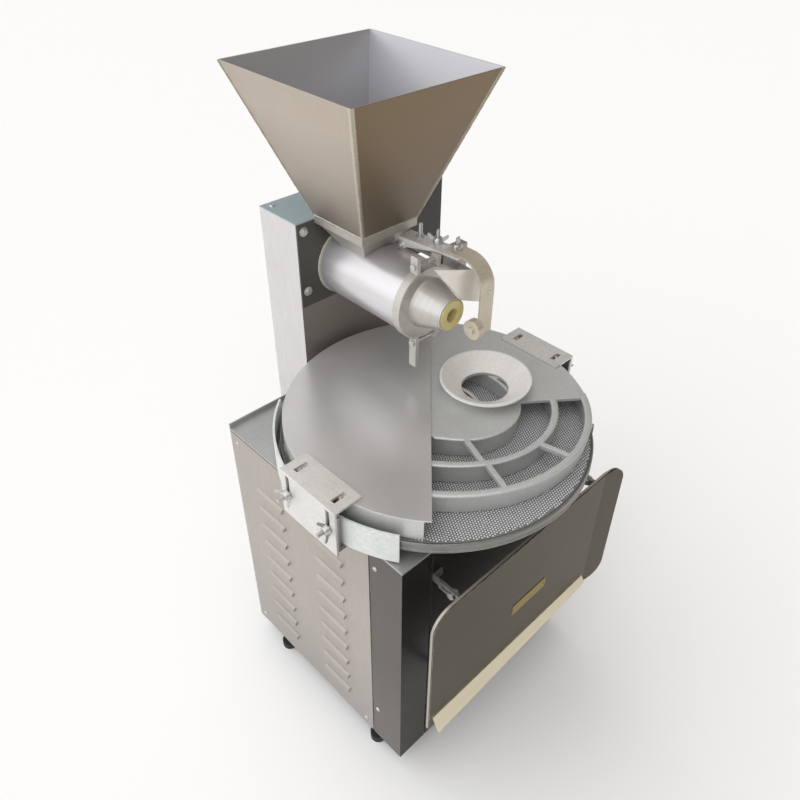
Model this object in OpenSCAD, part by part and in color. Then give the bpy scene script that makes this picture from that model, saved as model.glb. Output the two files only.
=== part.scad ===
/* [Disc] */
// Radius of the turning disc
disc_r = 280; // [276:1:284]
// Height of the disc's working face above the floor
disc_top = 656; // [653:1:659]
// Thickness of the aluminium disc under the mat
disc_t = 16; // [12:1:18]
// Thickness of the studded mat on the disc
mat_t = 3; // [2:0.5:4]
// Margin of bare metal outside the mat
mat_margin = 4; // [2:1:8]
// Radius of the disc's main shaft
shaft_r = 20; // [16:1:24]

/* [Track] */
// Height of the track walls
wall_h = 39; // [36:1:41]
// Thickness of the track walls
wall_t = 7; // [5:0.5:9]
// Gap between the mat and the underside of the track walls
track_gap = 2; // [1:0.5:4]
// Radius of the innermost wall, at its middle
first_wall_r = 77; // [74:1:80]
// Spacing from one turn of the wall to the next
wall_pitch = 67; // [64:1:68]
// Radius of the outer wall, at its middle
outer_wall_r = 269; // [264:1:270]
// Thickness of the cast deck that closes the track
deck_t = 6; // [4:0.5:8]
// Thickness of the steel half cover
cover_t = 2; // [1.5:0.5:3]
// Distance from the disc's axis to the straight edge of the half cover
cover_edge = 12; // [6:1:18]
// Furthest that the track can be raised
lift_max = 10; // [4:1:12]

/* [Funnel] */
// Distance of the funnel's centre to the right of the disc's axis
funnel_x = 104; // [102:1:108]
// Distance of the funnel's centre in front of the disc's axis
funnel_front = 20; // [17:1:24]
// Radius of the funnel's mouth
funnel_r = 84; // [78:1:90]
// Radius of the hole that the dough drops through
drop_r = 43; // [40:1:46]
// Height of the funnel's rim above the track
funnel_h = 24; // [18:1:30]
// Thickness of the funnel's wall
funnel_t = 4; // [3:0.5:6]

/* [Cabinet] */
// Width of the cabinet
cab_w = 506; // [496:1:512]
// Distance from the disc's axis to the front face
cab_front = 175; // [168:1:182]
// Distance from the disc's axis to the back face
cab_back = 290; // [284:1:296]
// Height of the lower edge of the panels above the floor
cab_bottom = 47; // [40:1:56]
// Height of the top plate above the floor
cab_top = 614; // [610:1:618]
// Thickness of the sheet panels
sheet_t = 2; // [1.5:0.5:2.5]
// Side of the square frame tube
tube_w = 30; // [25:1:34]
// Thickness of the top plate
top_t = 4; // [3:0.5:6]
// Width of the front post cover on the cabinet's side
post_cover_w = 76; // [66:1:84]
// Width of the front post cover on the cabinet's front
post_flange_w = 64; // [50:1:64]
// Width of the shadow gap beside the panels
panel_gap = 3; // [2:0.5:5]

/* [Louvres] */
// Rows of louvres in a panel
louvre_rows = 9; // [5:1:9]
// Height from one louvre to the next
louvre_step = 49; // [40:1:52]
// Length of a louvre
louvre_l = 78; // [60:1:88]
// Radius of a louvre's round back
louvre_r = 13; // [10:0.5:15]
// Distance that a louvre stands out of its panel
louvre_out = 6; // [4:0.5:7]
// Height of the lowest louvre above the panel's lower edge
louvre_low = 60; // [50:1:70]
// Distance from the panel's front edge to the middle of the front row of louvres
louvre_front_y = 107; // [100:1:112]
// Distance between the two rows of louvres
louvre_row_gap = 169; // [160:1:176]

/* [Column] */
// Distance of the barrel's axis to the right of the disc's axis
barrel_x = 44; // [42:1:46]
// Width of the column
col_w = 222; // [216:1:226]
// Depth of the column
col_d = 105; // [100:1:116]
// Height of the column's top above the floor
col_top = 965; // [962:1:966]
// Thickness of the barrel's mounting plate
mount_t = 10; // [8:1:12]
// Height of the barrel's mounting plate
mount_h = 168; // [166:1:172]

/* [Barrel] */
// Height of the barrel's axis above the floor
barrel_z = 861; // [860:1:863]
// Outer radius of the barrel
barrel_r = 66; // [64:0.5:67]
// Bore radius of the barrel
bore_r = 54; // [50:1:56]
// Length of the barrel in front of the column
barrel_l = 208; // [206:1:210]
// Length of the nozzle in front of the barrel
nozzle_l = 64; // [60:1:66]
// Radius of the nozzle's shoulder
nozzle_r = 46; // [43:1:49]
// Radius of the nozzle's nose
nose_r = 30; // [28:1:32]
// Radius of the dough hole in the nozzle's insert
dough_r = 13; // [9:1:16]
// Radius of the screw's shaft
auger_shaft_r = 14; // [11:1:16]
// Lead of the screw's flight
auger_lead = 52; // [46:1:60]

/* [Hopper] */
// Width of the hopper's mouth
hopper_w = 314; // [290:2:320]
// Width of the hopper's lower end
hopper_low_w = 128; // [124:1:132]
// Height of the hopper
hopper_h = 255; // [230:1:270]
// Thickness of the hopper's sheet
hopper_t = 2; // [1.5:0.5:2.5]
// Gap between the column's lid and the hopper's lower end
hopper_lift = 7; // [6:1:10]
// Distance of the hopper's middle to the left of the barrel's axis
hopper_dx = 7; // [0:1:10]
// Height of the straight skirt under the hopper
skirt_h = 15; // [12:1:17]
// Width of the hole through the neck into the barrel
throat_w = 54; // [44:1:60]

/* [Cutter] */
// Distance of the cutter's shaft to the right of the barrel's axis
cutter_dx = 78; // [76:1:80]
// Height of the cutter's shaft above the barrel's axis
cutter_dz = 39; // [37:1:41]
// Radius of the cutter's shaft
cutter_shaft_r = 7; // [6:0.5:8]
// Length of the blade from its shaft to its tip
blade_l = 148; // [140:1:150]
// Thickness of the blade
blade_t = 3; // [2:0.5:4]
// Height of the cutter's arm above the barrel's axis
arm_rise = 83; // [82:1:86]
// Width of the cutter's arm
arm_w = 32; // [28:1:33]
// Width of the guard strip
guard_w = 34; // [30:1:36]
// Radius of the guard's bend
guard_r = 50; // [46:1:54]
// Height of the guard from its top to its lower end
guard_drop = 136; // [128:1:144]

/* [Brackets] */
// Length of a hold-down bracket
bracket_l = 136; // [124:1:140]
// Width of a bracket's top
bracket_w = 55; // [50:1:58]
// Thickness of a bracket
bracket_t = 4; // [3:0.5:5]
// Depth of a bracket's outer side
bracket_h = 96; // [84:1:100]
// Distance from the disc's axis to the outer face of a bracket
bracket_x = 299; // [298:1:302]
// Radius of the threaded studs
stud_r = 4; // [3:0.5:4.5]
// Distance between a bracket's two wing nuts
wing_pitch = 100; // [90:1:104]

/* [Front plate] */
// Width of the front plate
plate_w = 510; // [500:1:516]
// Height of the front plate
plate_h = 312; // [300:1:320]
// Height of the front plate's lower edge above the floor
plate_low = 256; // [250:1:262]
// Gap between the cabinet and the front plate
plate_gap = 71; // [69:1:76]
// Corner radius of the front plate
plate_corner_r = 40; // [30:1:44]
// Height of the folded lip above the front plate's lower edge
lip_rise = 28; // [24:1:34]
// Width of the lip at its left end
lip_w = 31; // [26:1:36]
// Width of the lip at its right end
lip_end_w = 17; // [12:1:24]
// Radius of the front plate's lower right corner
plate_low_r = 34; // [20:1:38]
// Angle of the plate's right wing
wing_bend = 8; // [2:1:12]
// Furthest that the front plate can be pushed in
plate_in = 5; // [2:1:5]
// Furthest that the front plate can be pulled out
plate_out = 20; // [12:1:20]

/* [Controls] */
// Width of the control box
box_w = 146; // [130:1:150]
// Height of the control box
box_h = 160; // [150:1:164]
// Depth of the control box
box_d = 100; // [90:1:102]
// Radius of the push buttons
button_r = 11; // [9:0.5:12]
// Travel of the push buttons
button_travel = 4; // [2:0.5:5]
// Radius of the speed knob
knob_r = 16; // [13:0.5:18]

/* [Feet] */
// Radius of a foot's rubber pad
pad_r = 17; // [14:1:18]
// Height of a foot's rubber pad
pad_h = 16; // [12:1:20]

/* [Hidden] */
$fn = 96;
// Overrun of every cut past the face that it opens
over = 1;
// Gap between fixed pieces that sit against each other on a curve
seat_gap = 0.2;
// Radial clearance of a turning shaft
run_gap = 0.05;
// Gap between pieces that move past each other
move_gap = 0.4;
// Clearance of a bolt or stud in its slot
bolt_gap = 0.5;
half_turn = 180;
quarter_turn = 90;
full_turn = 360;

// Disc and its drive
disc_low = disc_top - mat_t - disc_t;
hub_t = 10;
hub_r = 60;
hub_low = disc_low - hub_t;
housing_gap = 0.5;
housing_wall = 22;
housing_r = shaft_r + housing_wall;
housing_flange_r = housing_r + housing_wall;
housing_flange_t = 8;
housing_top = hub_low - housing_gap;
housing_depth = 54;
housing_low = cab_top - top_t - housing_depth;
pulley_t = 30;
pulley_r = 108;
small_pulley_r = 36;
pulley_drop = 56;
pulley_low = housing_low - pulley_drop - pulley_t;
pulley_top = pulley_low + pulley_t;
groove_depth = 6;
groove_gap = 1;
belt_t = 8;
belt_w = 22;
belt_low = pulley_low + (pulley_t - belt_w) / 2;
shaft_below = 15;
shaft_low = pulley_low - shaft_below;
motor_back = 172;
motor_r = 64;
motor_l = 190;
motor_cap_l = 26;
motor_cap_step = 6;
motor_shaft_r = 12;
motor_shaft_depth = 95;
motor_hole_r = 22;
motor_plate_t = 8;
motor_plate_front = 95;
motor_plate_back = 65;
motor_plate_drop = 30;
motor_plate_top = pulley_low - motor_plate_drop;
motor_top = motor_plate_top - motor_plate_t;
motor_low = motor_top - motor_l;

// Track
wall_low = disc_top + track_gap;
wall_top = wall_low + wall_h;
open_start = -140;
open_end = -35;
open_span = open_end - open_start;
spiral_steps = 24;
turns = 3;
deck_end = 60;
deck_lap = 3;
deck_start = open_end - deck_lap;
deck_seat = wall_t / 4;
step_lap = 2;
step_t = wall_t - 2 * move_gap;
cover_angle = 45;
rib_w = 9;
rib_t = 8;
front_rib_angle = -106;
right_rib_angle = -73;
rib_skew = -4;
cover_r = outer_wall_r + wall_t / 2;
cover_top = wall_top + cover_t;
funnel_rim = 4;
function smooth(share) = share * share * (3 - 2 * share);
function wall_r(turn) = turn < turns ? first_wall_r + wall_pitch * turn : outer_wall_r;
function wall_mid(turn, angle) =
    wall_r(turn) + (wall_r(turn + 1) - wall_r(turn)) * smooth(max(0, min(1, (angle - open_start) / open_span)));
function polar(r, angle) = [r * cos(angle), r * sin(angle)];
function open_angle(i) = open_start + open_span * i / spiral_steps;

// Cabinet
side_x = cab_w / 2;
tube_x = side_x - sheet_t;
tube_front = -cab_front + sheet_t;
tube_back = cab_back - sheet_t;
frame_top = cab_top - top_t;
rail_z = motor_top - tube_w;
panel_front = -cab_front + post_cover_w + panel_gap;
panel_top = frame_top - panel_gap;
front_edge = tube_x - post_flange_w - panel_gap;
rear_lip_h = 10;
lip_gap = 2;
screw_r = 4.5;
screw_h = 2.4;
screw_top_share = 0.6;
screw_inset = 20;
post_screw_inset = 13;
post_screw_rise = 98;
bolt_head_r = 6.5;
bolt_head_t = 4;
bolt_inset = 16;

// Feet
foot_x = tube_x - tube_w / 2;
foot_inset = 82;
col_foot_inset = 26;
foot_stud_r = 6;
foot_nut_r = 11;
foot_nut_h = 8;

// Column and barrel
col_left = barrel_x - col_w / 2;
col_right = barrel_x + col_w / 2;
col_front = cab_back;
col_back = cab_back + col_d;
lid_t = 2;
col_rim = col_top - lid_t;
mount_low = col_rim - mount_h;
mount_back = col_front + mount_t;
barrel_front = col_front - barrel_l;
nozzle_front = barrel_front - nozzle_l;
collar_t = 8;
nozzle_wall = 4;
insert_l = 20;
insert_wall = 3;
insert_r = nose_r - insert_wall;
insert_out = 2;
clamp_w = 16;
clamp_wall = 4;
clamp_r = barrel_r + clamp_wall;
clamp_front = barrel_front - clamp_w / 2;
clamp_back = barrel_front + clamp_w / 2;
ear_t = 8;
ear_h = 12;
tall_ear_h = 25;
ear_gap = 40;
grip_h = 56;
ear_bolt_rise = clamp_r + ear_h / 2;

// Hopper
hopper_z = col_top + hopper_lift;
hopper_x = barrel_x - hopper_dx;
neck_inset = 0.5;
neck_half = hopper_low_w / 2;
neck_t = 3;
neck_step = 4;
neck_rise = 50;
neck_low = barrel_z + neck_rise;
skirt_low = hopper_z - skirt_h;
hopper_y = col_front - neck_inset - neck_half;

// Screw
flight_gap = 1;
flight_r = bore_r - flight_gap;
flight_root_gap = 0.3;
flight_steps = 24;
flight_points = 4;
flight_width = 48;
flight_inset = 3;
flight_front = barrel_front + flight_inset;
flight_back = col_front - flight_inset;
auger_nose = 10;
auger_front = barrel_front - auger_nose;
auger_tail_l = 6;
auger_tail = mount_back + auger_tail_l;
coupling_r = 24;
coupling_l = 24;
coupling_gap = 1;
coupling_back = auger_tail + coupling_l;
stub_r = 9;
stub_l = 14;
bell_r = 46;
bell_inner_r = 30;
gearbox_l = 32;
gear_motor_r = 34;
gearbox_front = coupling_back + coupling_gap;

// Cutter
cutter_x = barrel_x + cutter_dx;
cutter_z = barrel_z + cutter_dz;
blade_gap = 1;
blade_back = nozzle_front - insert_out - blade_gap;
blade_front = blade_back - blade_t;
blade_hub_r = 17;
blade_hub_l = 8;
blade_shares = [
    [-0.88, 0.47], [-0.33, 0.26], [0, 0.115], [0.115, 0], [0, -0.115], [-0.055, -0.26], [-0.405, -0.1]];
cutter_nut_r = 12;
cutter_nut_l = 8;
block_left = 34;
block_right = 94;
block_low = 24;
arm_t = 4;
arm_low = barrel_z + arm_rise;
arm_top = arm_low + arm_t;
arm_rear_dx = 33;
arm_front_dx = 48;
arm_rear_y = 167;
arm_front_y = 41;
arm_side_l = 70;
arm_side_h = 18;
arm_reach = norm([arm_front_dx - arm_rear_dx, arm_front_y - arm_rear_y]);
arm_heading = atan2(arm_front_y - arm_rear_y, arm_front_dx - arm_rear_dx);
guard_t = 3;
guard_rear = 74;
guard_shift = 25;
guard_left = cutter_x - guard_shift - guard_w / 2;
guard_bend_back = 25;
guard_bend_y = blade_front + guard_bend_back;
guard_bend_z = arm_top + guard_t - guard_r;
guard_front = guard_bend_y - guard_r;
guard_low = arm_top + guard_t - guard_drop;
guard_boss_r = 18;
guard_boss_l = 14;
guard_boss_back = 4;
guard_boss_y = guard_front + guard_boss_back;
guard_boss_z = guard_low + guard_boss_r;
cutter_motor_r = 24;
cutter_motor_l = 62;
cutter_tail_l = 18;
cutter_tail = mount_back + cutter_tail_l;

// Brackets
bracket_mid = -8;
bracket_front = bracket_mid - bracket_l / 2;
bracket_back = bracket_mid + bracket_l / 2;
plate_slot_l = 26;
plate_slot_w = 9;
plate_slot_inset = 22;
stud_z = 658;
slot_low = stud_z - lift_max - stud_r - 2 * bolt_gap;
slot_up = 39;
slot_high = stud_z + slot_up;
upright_t = 4;
upright_x = bracket_x - bracket_t - move_gap - upright_t;
upright_top = 690;
upright_foot = 62;
stud_out = 22;
wing_hub_r = 9;
wing_hub_l = 10;
wing_span = 19;
wing_t = 4;
wing_h = 15;
wing_root = 5;
wing_face = bracket_x + bolt_gap;
band_t = 4;
band_r = upright_x - seat_gap;
band_low = cab_top + upright_t;
band_top = 678;
band_start = 128;
band_sweep = 85;

// Front plate
plate_t = 2;
plate_back = -cab_front - plate_gap;
plate_front = plate_back - plate_t;
plate_top = plate_low + plate_h;
flange_d = 5;
lip_slope = 60;
lip_inset = 8;
crease_x = 200;
bar_x_in = 163;
bar_x_out = 181;
bar_t = 3;
bar_h = 16;
bar_reach = 57;
bar_bolt_r = 3;
bar_bolt_out = 46;
bar_bolt_y = -cab_front - bar_bolt_out;
bar_slot_wall = 6;
bar_tab_w = 14;
upper_bar_drop = 22;
lower_bar_rise = 44;
bar_heights = [plate_top - upper_bar_drop, plate_low + lower_bar_rise];
slide_bar_x = bar_x_out + bar_t + move_gap;
blank_w = 95;
blank_h = 25;
blank_t = 0.8;
blank_rise = 140;
blank_z = plate_low + blank_rise;

// Controls
box_inset = 2;
box_front = col_front + box_inset;
box_drop = 5;
box_top = col_top - box_drop;
box_low = box_top - box_h;
box_right = col_right + box_w;
control_y = box_front + box_d / 2;
stop_share = 0.28;
start_share = 0.52;
knob_share = 0.78;
stop_z = box_low + box_h * stop_share;
start_z = box_low + box_h * start_share;
knob_z = box_low + box_h * knob_share;
button_flange_w = 3;
button_flange_t = 2;
button_in = 8;
button_rest = 4;
button_out = button_travel + button_rest;
knob_l = 16;
knob_shaft_r = 3;
knob_shaft_in = 14;
wire_r = 9;
wire_rise = 20;
gland_r = 9;
gland_l = 22;
gland_nut_r = 13;
gland_nut_l = 8;
gland_x = col_right + box_w / 2;

// Shared shapes

// A box from its lowest to its highest corner
module span_box(low, high) {
    translate(low)
        cube(high - low);
}

// A cylinder along X from x0 to x1
module rod_x(x0, x1, y, z, r) {
    translate([x0, y, z])
        rotate([0, quarter_turn, 0])
            cylinder(r = r, h = x1 - x0);
}

// A cylinder along Y from y0 to y1
module rod_y(x, y0, y1, z, r) {
    translate([x, y0, z])
        rotate([-quarter_turn, 0, 0])
            cylinder(r = r, h = y1 - y0);
}

// A cylinder along Z from z0 to z1
module rod_z(x, y, z0, z1, r) {
    translate([x, y, z0])
        cylinder(r = r, h = z1 - z0);
}

// A cone along Y, with radius r0 at y0 and r1 at y1
module cone_y(x, y0, y1, z, r0, r1) {
    translate([x, y0, z])
        rotate([-quarter_turn, 0, 0])
            cylinder(r1 = r0, r2 = r1, h = y1 - y0);
}

// A sector of a ring with a square section
module ring_sector(r0, r1, z0, z1, start, sweep) {
    rotate([0, 0, start])
        rotate_extrude(angle = sweep)
            translate([r0, z0])
                square([r1 - r0, z1 - z0]);
}

// The same piece on the left and on the right
module both_sides() {
    children();
    mirror([1, 0, 0])
        children();
}

// Cabinet

module base_frame() color("dimgray") {
    for (x = [-tube_x, tube_x - tube_w]) {
        for (y = [tube_front, tube_back - tube_w])
            span_box([x, y, cab_bottom], [x + tube_w, y + tube_w, frame_top]);
        for (z = [cab_bottom, rail_z, frame_top - tube_w])
            span_box([x, tube_front, z], [x + tube_w, tube_back, z + tube_w]);
    }
    for (y = [tube_front, tube_back - tube_w], z = [cab_bottom, frame_top - tube_w])
        span_box([-tube_x, y, z], [tube_x, y + tube_w, z + tube_w]);
}

module top_plate() color("silver") difference() {
    union() {
        span_box([-side_x, -cab_front, frame_top], [side_x, cab_back, cab_top]);
        span_box([-side_x, cab_back - sheet_t, cab_top], [col_left - lip_gap, cab_back, cab_top + rear_lip_h]);
        span_box([col_right + lip_gap, cab_back - sheet_t, cab_top], [side_x, cab_back, cab_top + rear_lip_h]);
    }
    rod_z(0, 0, frame_top - over, cab_top + over, housing_r + seat_gap);
}

// Angled sheets that wrap the frame's front corners
module front_post_covers() color("gray") both_sides() {
    span_box([-side_x, -cab_front, cab_bottom], [-tube_x, post_cover_w - cab_front, frame_top]);
    span_box([-tube_x, -cab_front, cab_bottom], [post_flange_w - tube_x, tube_front, frame_top]);
}

module front_panel() color("dimgray")
    span_box([-front_edge, -cab_front, cab_bottom], [front_edge, tube_front, frame_top]);

// A louvre is the cap of a lying cylinder, cut off flat below
module louvre(y, z) {
    intersection() {
        rod_y(louvre_r - louvre_out - side_x, y - louvre_l / 2, y + louvre_l / 2, z, louvre_r);
        span_box([-side_x - louvre_r, y - louvre_l, z], [-side_x, y + louvre_l, z + louvre_r]);
    }
}

module side_panel() {
    front_row = panel_front + louvre_front_y;
    span_box([-side_x, panel_front, cab_bottom], [-tube_x, cab_back - sheet_t, panel_top]);
    for (row = [0 : louvre_rows - 1], y = [front_row, front_row + louvre_row_gap])
        louvre(y, cab_bottom + louvre_low + row * louvre_step);
}

module left_panel() color("lightgray") side_panel();

module right_panel() color("lightgray") mirror([1, 0, 0]) side_panel();

module back_panel() color("lightgray")
    span_box([-side_x, cab_back - sheet_t, cab_bottom], [side_x, cab_back, frame_top]);

// Places of the six feet, four under the frame and two under the column
function foot_places() = concat(
    [for (x = [-foot_x, foot_x], y = [foot_inset - cab_front, cab_back - foot_inset]) [x, y]],
    [for (x = [col_left + col_foot_inset, col_right - col_foot_inset]) [x, col_back - col_foot_inset]]);

module feet_pads() color("black") {
    for (p = foot_places())
        rod_z(p[0], p[1], 0, pad_h, pad_r);
}

module feet_studs() color("silver") {
    for (p = foot_places()) {
        rod_z(p[0], p[1], pad_h, cab_bottom, foot_stud_r);
        translate([p[0], p[1], cab_bottom - foot_nut_h])
            cylinder(r = foot_nut_r, h = foot_nut_h, $fn = 6);
    }
}

// A low screw head on the cabinet's left side
module side_screw(y, z) {
    translate([-side_x, y, z])
        rotate([0, -quarter_turn, 0])
            cylinder(r1 = screw_r, r2 = screw_r * screw_top_share, h = screw_h);
}

module cover_screws() color("silver") {
    both_sides() {
        for (y = [panel_front + screw_inset, cab_back - screw_inset],
             z = [cab_bottom + screw_inset, panel_top - screw_inset])
            side_screw(y, z);
        for (z = [cab_bottom + post_screw_rise, frame_top - 2 * screw_inset])
            side_screw(post_cover_w - cab_front - post_screw_inset, z);
    }
    for (x = [col_left + bolt_inset, col_right - bolt_inset]) {
        for (z = [mount_low + 2 * bolt_inset, col_rim - bolt_inset])
            rod_y(x, col_front - bolt_head_t, col_front, z, bolt_head_r);
        rod_z(x, col_back - bolt_inset, col_top, col_top + screw_h, screw_r);
    }
}

// Disc drive

module bearing_housing() color("darkgray") difference() {
    union() {
        rod_z(0, 0, cab_top, cab_top + housing_flange_t, housing_flange_r);
        rod_z(0, 0, housing_low, housing_top, housing_r);
    }
    rod_z(0, 0, housing_low - over, housing_top + over, shaft_r + run_gap);
}

module motor_plate() color("dimgray") difference() {
    span_box([-tube_x, motor_back - motor_plate_front, motor_top],
             [tube_x, motor_back + motor_plate_back, motor_plate_top]);
    rod_z(0, motor_back, motor_top - over, motor_plate_top + over, motor_hole_r);
}

module disc_motor() color("steelblue") difference() {
    union() {
        rod_z(0, motor_back, motor_low, motor_top, motor_r);
        rod_z(0, motor_back, motor_low - motor_cap_l, motor_low, motor_r - motor_cap_step);
    }
    rod_z(0, motor_back, motor_top - motor_shaft_depth, motor_top + over, motor_shaft_r + run_gap);
}

// A pulley with a belt groove half way up
module grooved(r) {
    difference() {
        rod_z(0, 0, pulley_low, pulley_top, r);
        difference() {
            rod_z(0, 0, belt_low - groove_gap, belt_low + belt_w + groove_gap, r + over);
            rod_z(0, 0, pulley_low, pulley_top, r - groove_depth);
        }
    }
}

module motor_pulley() color("dimgray") translate([0, motor_back, 0]) {
    grooved(small_pulley_r);
    rod_z(0, 0, motor_top - motor_shaft_depth + groove_gap, pulley_low, motor_shaft_r);
}

// Outline of a loop round both pulleys, a set distance outside their grooves
module belt_outline(distance) {
    r0 = pulley_r - groove_depth + distance;
    r1 = small_pulley_r - groove_depth + distance;
    lean = asin((r0 - r1) / motor_back);
    circle(r = r0);
    translate([0, motor_back])
        circle(r = r1);
    polygon([
        polar(r0, lean),
        [0, motor_back] + polar(r1, lean),
        [0, motor_back] + polar(r1, half_turn - lean),
        polar(r0, half_turn - lean)]);
}

module drive_belt() color("black") translate([0, 0, belt_low])
    linear_extrude(height = belt_w)
        difference() {
            belt_outline(move_gap + belt_t);
            belt_outline(move_gap);
        }

// Disc

module disc_plate() color("silver") rod_z(0, 0, disc_low, disc_top - mat_t, disc_r);

module disc_mat() color("lightgray") rod_z(0, 0, disc_top - mat_t, disc_top, disc_r - mat_margin);

module disc_spindle() color("darkgray") {
    rod_z(0, 0, hub_low, disc_low, hub_r);
    rod_z(0, 0, shaft_low, hub_low, shaft_r);
}

module disc_pulley() color("dimgray") difference() {
    grooved(pulley_r);
    rod_z(0, 0, pulley_low - over, pulley_top + over, shaft_r);
}

// Track

// The stretch of a wall that steps out to the next turn in the open sector, with both ends inside round walls
module step_wall(turn) {
    angles = concat(
        [open_start - step_lap, open_start + step_lap],
        [for (i = [1 : spiral_steps - 1]) open_angle(i)],
        [open_end - step_lap, open_end + step_lap]);
    last = len(angles) - 1;
    inner = [for (i = [0 : last]) polar(wall_mid(turn, angles[i]) - step_t / 2, angles[i])];
    outer = [for (i = [last : -1 : 0]) polar(wall_mid(turn, angles[i]) + step_t / 2, angles[i])];
    translate([0, 0, wall_low])
        linear_extrude(height = wall_h)
            polygon(concat(inner, outer));
}

// The round stretch of a wall, under the deck and the cover
module round_wall(turn) {
    ring_sector(wall_r(turn) - wall_t / 2, wall_r(turn) + wall_t / 2, wall_low, wall_top,
                open_end, full_turn - open_span);
}

// Outline of the cast deck: the middle, out to the first wall, and the closed sector on the right
module deck_outline() {
    middle = [for (i = [1 : spiral_steps]) polar(wall_mid(0, open_angle(i)), open_angle(i))];
    circle(r = first_wall_r - deck_seat);
    polygon(concat([[0, 0]], middle));
    intersection() {
        circle(r = outer_wall_r);
        polygon(concat([[0, 0]],
            [for (angle = [deck_start, (deck_start + deck_end) / 2, deck_end]) polar(2 * outer_wall_r, angle)]));
    }
}

// A bar across the top of one lane of the track
module rib(angle, turn) {
    length = wall_mid(turn + 1, angle) - wall_mid(turn, angle);
    rotate([0, 0, angle])
        translate([wall_mid(turn, angle), 0, wall_top - rib_t])
            rotate([0, 0, rib_skew])
                span_box([0, -rib_w / 2, 0], [length, rib_w / 2, rib_t]);
}

module track_casting() color("gainsboro") difference() {
    union() {
        for (turn = [0 : turns - 1])
            step_wall(turn);
        for (turn = [0 : turns])
            round_wall(turn);
        translate([0, 0, wall_top - deck_t])
            linear_extrude(height = deck_t)
                deck_outline();
        rib(front_rib_angle, 0);
        rib(front_rib_angle, 1);
        rib(right_rib_angle, 1);
    }
    rod_z(funnel_x, -funnel_front, wall_top - deck_t - over, wall_top + over, drop_r);
}

module half_cover() color("lightgray") translate([0, 0, wall_top])
    linear_extrude(height = cover_t)
        intersection() {
            circle(r = cover_r);
            rotate([0, 0, cover_angle])
                translate([-2 * cover_r, cover_edge])
                    square([4 * cover_r, 2 * cover_r]);
        }

module funnel() color("whitesmoke") translate([funnel_x, -funnel_front, wall_top])
    rotate_extrude()
        polygon([
            [drop_r, 0],
            [funnel_r - funnel_rim, funnel_h],
            [funnel_r, funnel_h],
            [funnel_r, funnel_h - funnel_rim],
            [funnel_r - funnel_rim, funnel_h - funnel_rim],
            [drop_r + 2 * funnel_t, 0]]);

// An angle bracket on the left, with two slots in its top and two in its side
module hold_bracket(low) {
    top = low + bracket_t;
    difference() {
        union() {
            span_box([-bracket_x, bracket_front, low], [bracket_w - bracket_x, bracket_back, top]);
            span_box([-bracket_x, bracket_front, top - bracket_h], [bracket_t - bracket_x, bracket_back, low]);
        }
        for (y = [bracket_front + plate_slot_inset, bracket_back - plate_slot_inset])
            translate([bracket_w / 2 - bracket_x, y, low])
                span_box([-plate_slot_l / 2, -plate_slot_w / 2, -over],
                         [plate_slot_l / 2, plate_slot_w / 2, bracket_t + over]);
        for (side = [-1, 1])
            translate([-bracket_x, bracket_mid + side * wing_pitch / 2, 0])
                span_box([-over, -stud_r - bolt_gap, slot_low], [bracket_t + over, stud_r + bolt_gap, slot_high]);
    }
}

module hold_brackets() color("lightgray") {
    hold_bracket(cover_top);
    mirror([1, 0, 0])
        hold_bracket(wall_top);
}

// Angles on the cabinet's top that carry the brackets
module uprights() color("gray") both_sides() difference() {
    union() {
        span_box([-upright_x - upright_t, bracket_front, cab_top], [-upright_x, bracket_back, upright_top]);
        span_box([-upright_x, bracket_front, cab_top], [upright_foot - upright_x, bracket_back, band_low]);
    }
    for (side = [-1, 1])
        rod_x(-upright_x - upright_t - over, over - upright_x, bracket_mid + side * wing_pitch / 2, stud_z, stud_r);
}

module upright_studs() color("silver") both_sides() {
    for (side = [-1, 1])
        rod_x(-bracket_x - stud_out, -upright_x, bracket_mid + side * wing_pitch / 2, stud_z, stud_r);
}

module side_band() color("white")
    ring_sector(band_r - band_t, band_r, band_low, band_top, band_start, band_sweep);

// A nut with two wings on a stud of the left side
module wing_nut(side) translate([-wing_face, bracket_mid + side * wing_pitch / 2, stud_z])
    difference() {
        union() {
            rod_x(-wing_hub_l, 0, 0, 0, wing_hub_r);
            for (turn = [0, half_turn])
                rotate([turn, 0, 0])
                    span_box([-wing_h, wing_root, -wing_t / 2], [-wing_hub_l / 2, wing_span, wing_t / 2]);
        }
        rod_x(-wing_h - over, over, 0, 0, stud_r + run_gap);
    }

module wing_nut_left_front() color("silver") wing_nut(-1);

module wing_nut_left_rear() color("silver") wing_nut(1);

module wing_nut_right_front() color("silver") mirror([1, 0, 0]) wing_nut(-1);

module wing_nut_right_rear() color("silver") mirror([1, 0, 0]) wing_nut(1);

// Column

module column_shell() color("lightgray") difference() {
    span_box([col_left, col_front, cab_bottom], [col_right, col_back, col_rim]);
    span_box([col_left + sheet_t, col_front + sheet_t, cab_bottom + sheet_t],
             [col_right - sheet_t, col_back - sheet_t, col_rim + over]);
    span_box([col_left + sheet_t, col_front - over, mount_low],
             [col_right - sheet_t, mount_back, col_rim + over]);
    rod_x(col_right - sheet_t - over, col_right + over, control_y, box_low + wire_rise, wire_r);
}

module column_lid() color("lightsteelblue")
    span_box([col_left, col_front, col_rim], [col_right, col_back, col_top]);

module mounting_plate() color("dimgray") difference() {
    span_box([col_left + sheet_t, col_front, mount_low], [col_right - sheet_t, mount_back, col_rim]);
    rod_y(barrel_x, col_front - over, mount_back + over, barrel_z, auger_shaft_r + run_gap);
    rod_y(cutter_x, col_front - over, mount_back + over, cutter_z, cutter_shaft_r + run_gap);
}

// Extruder

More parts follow.
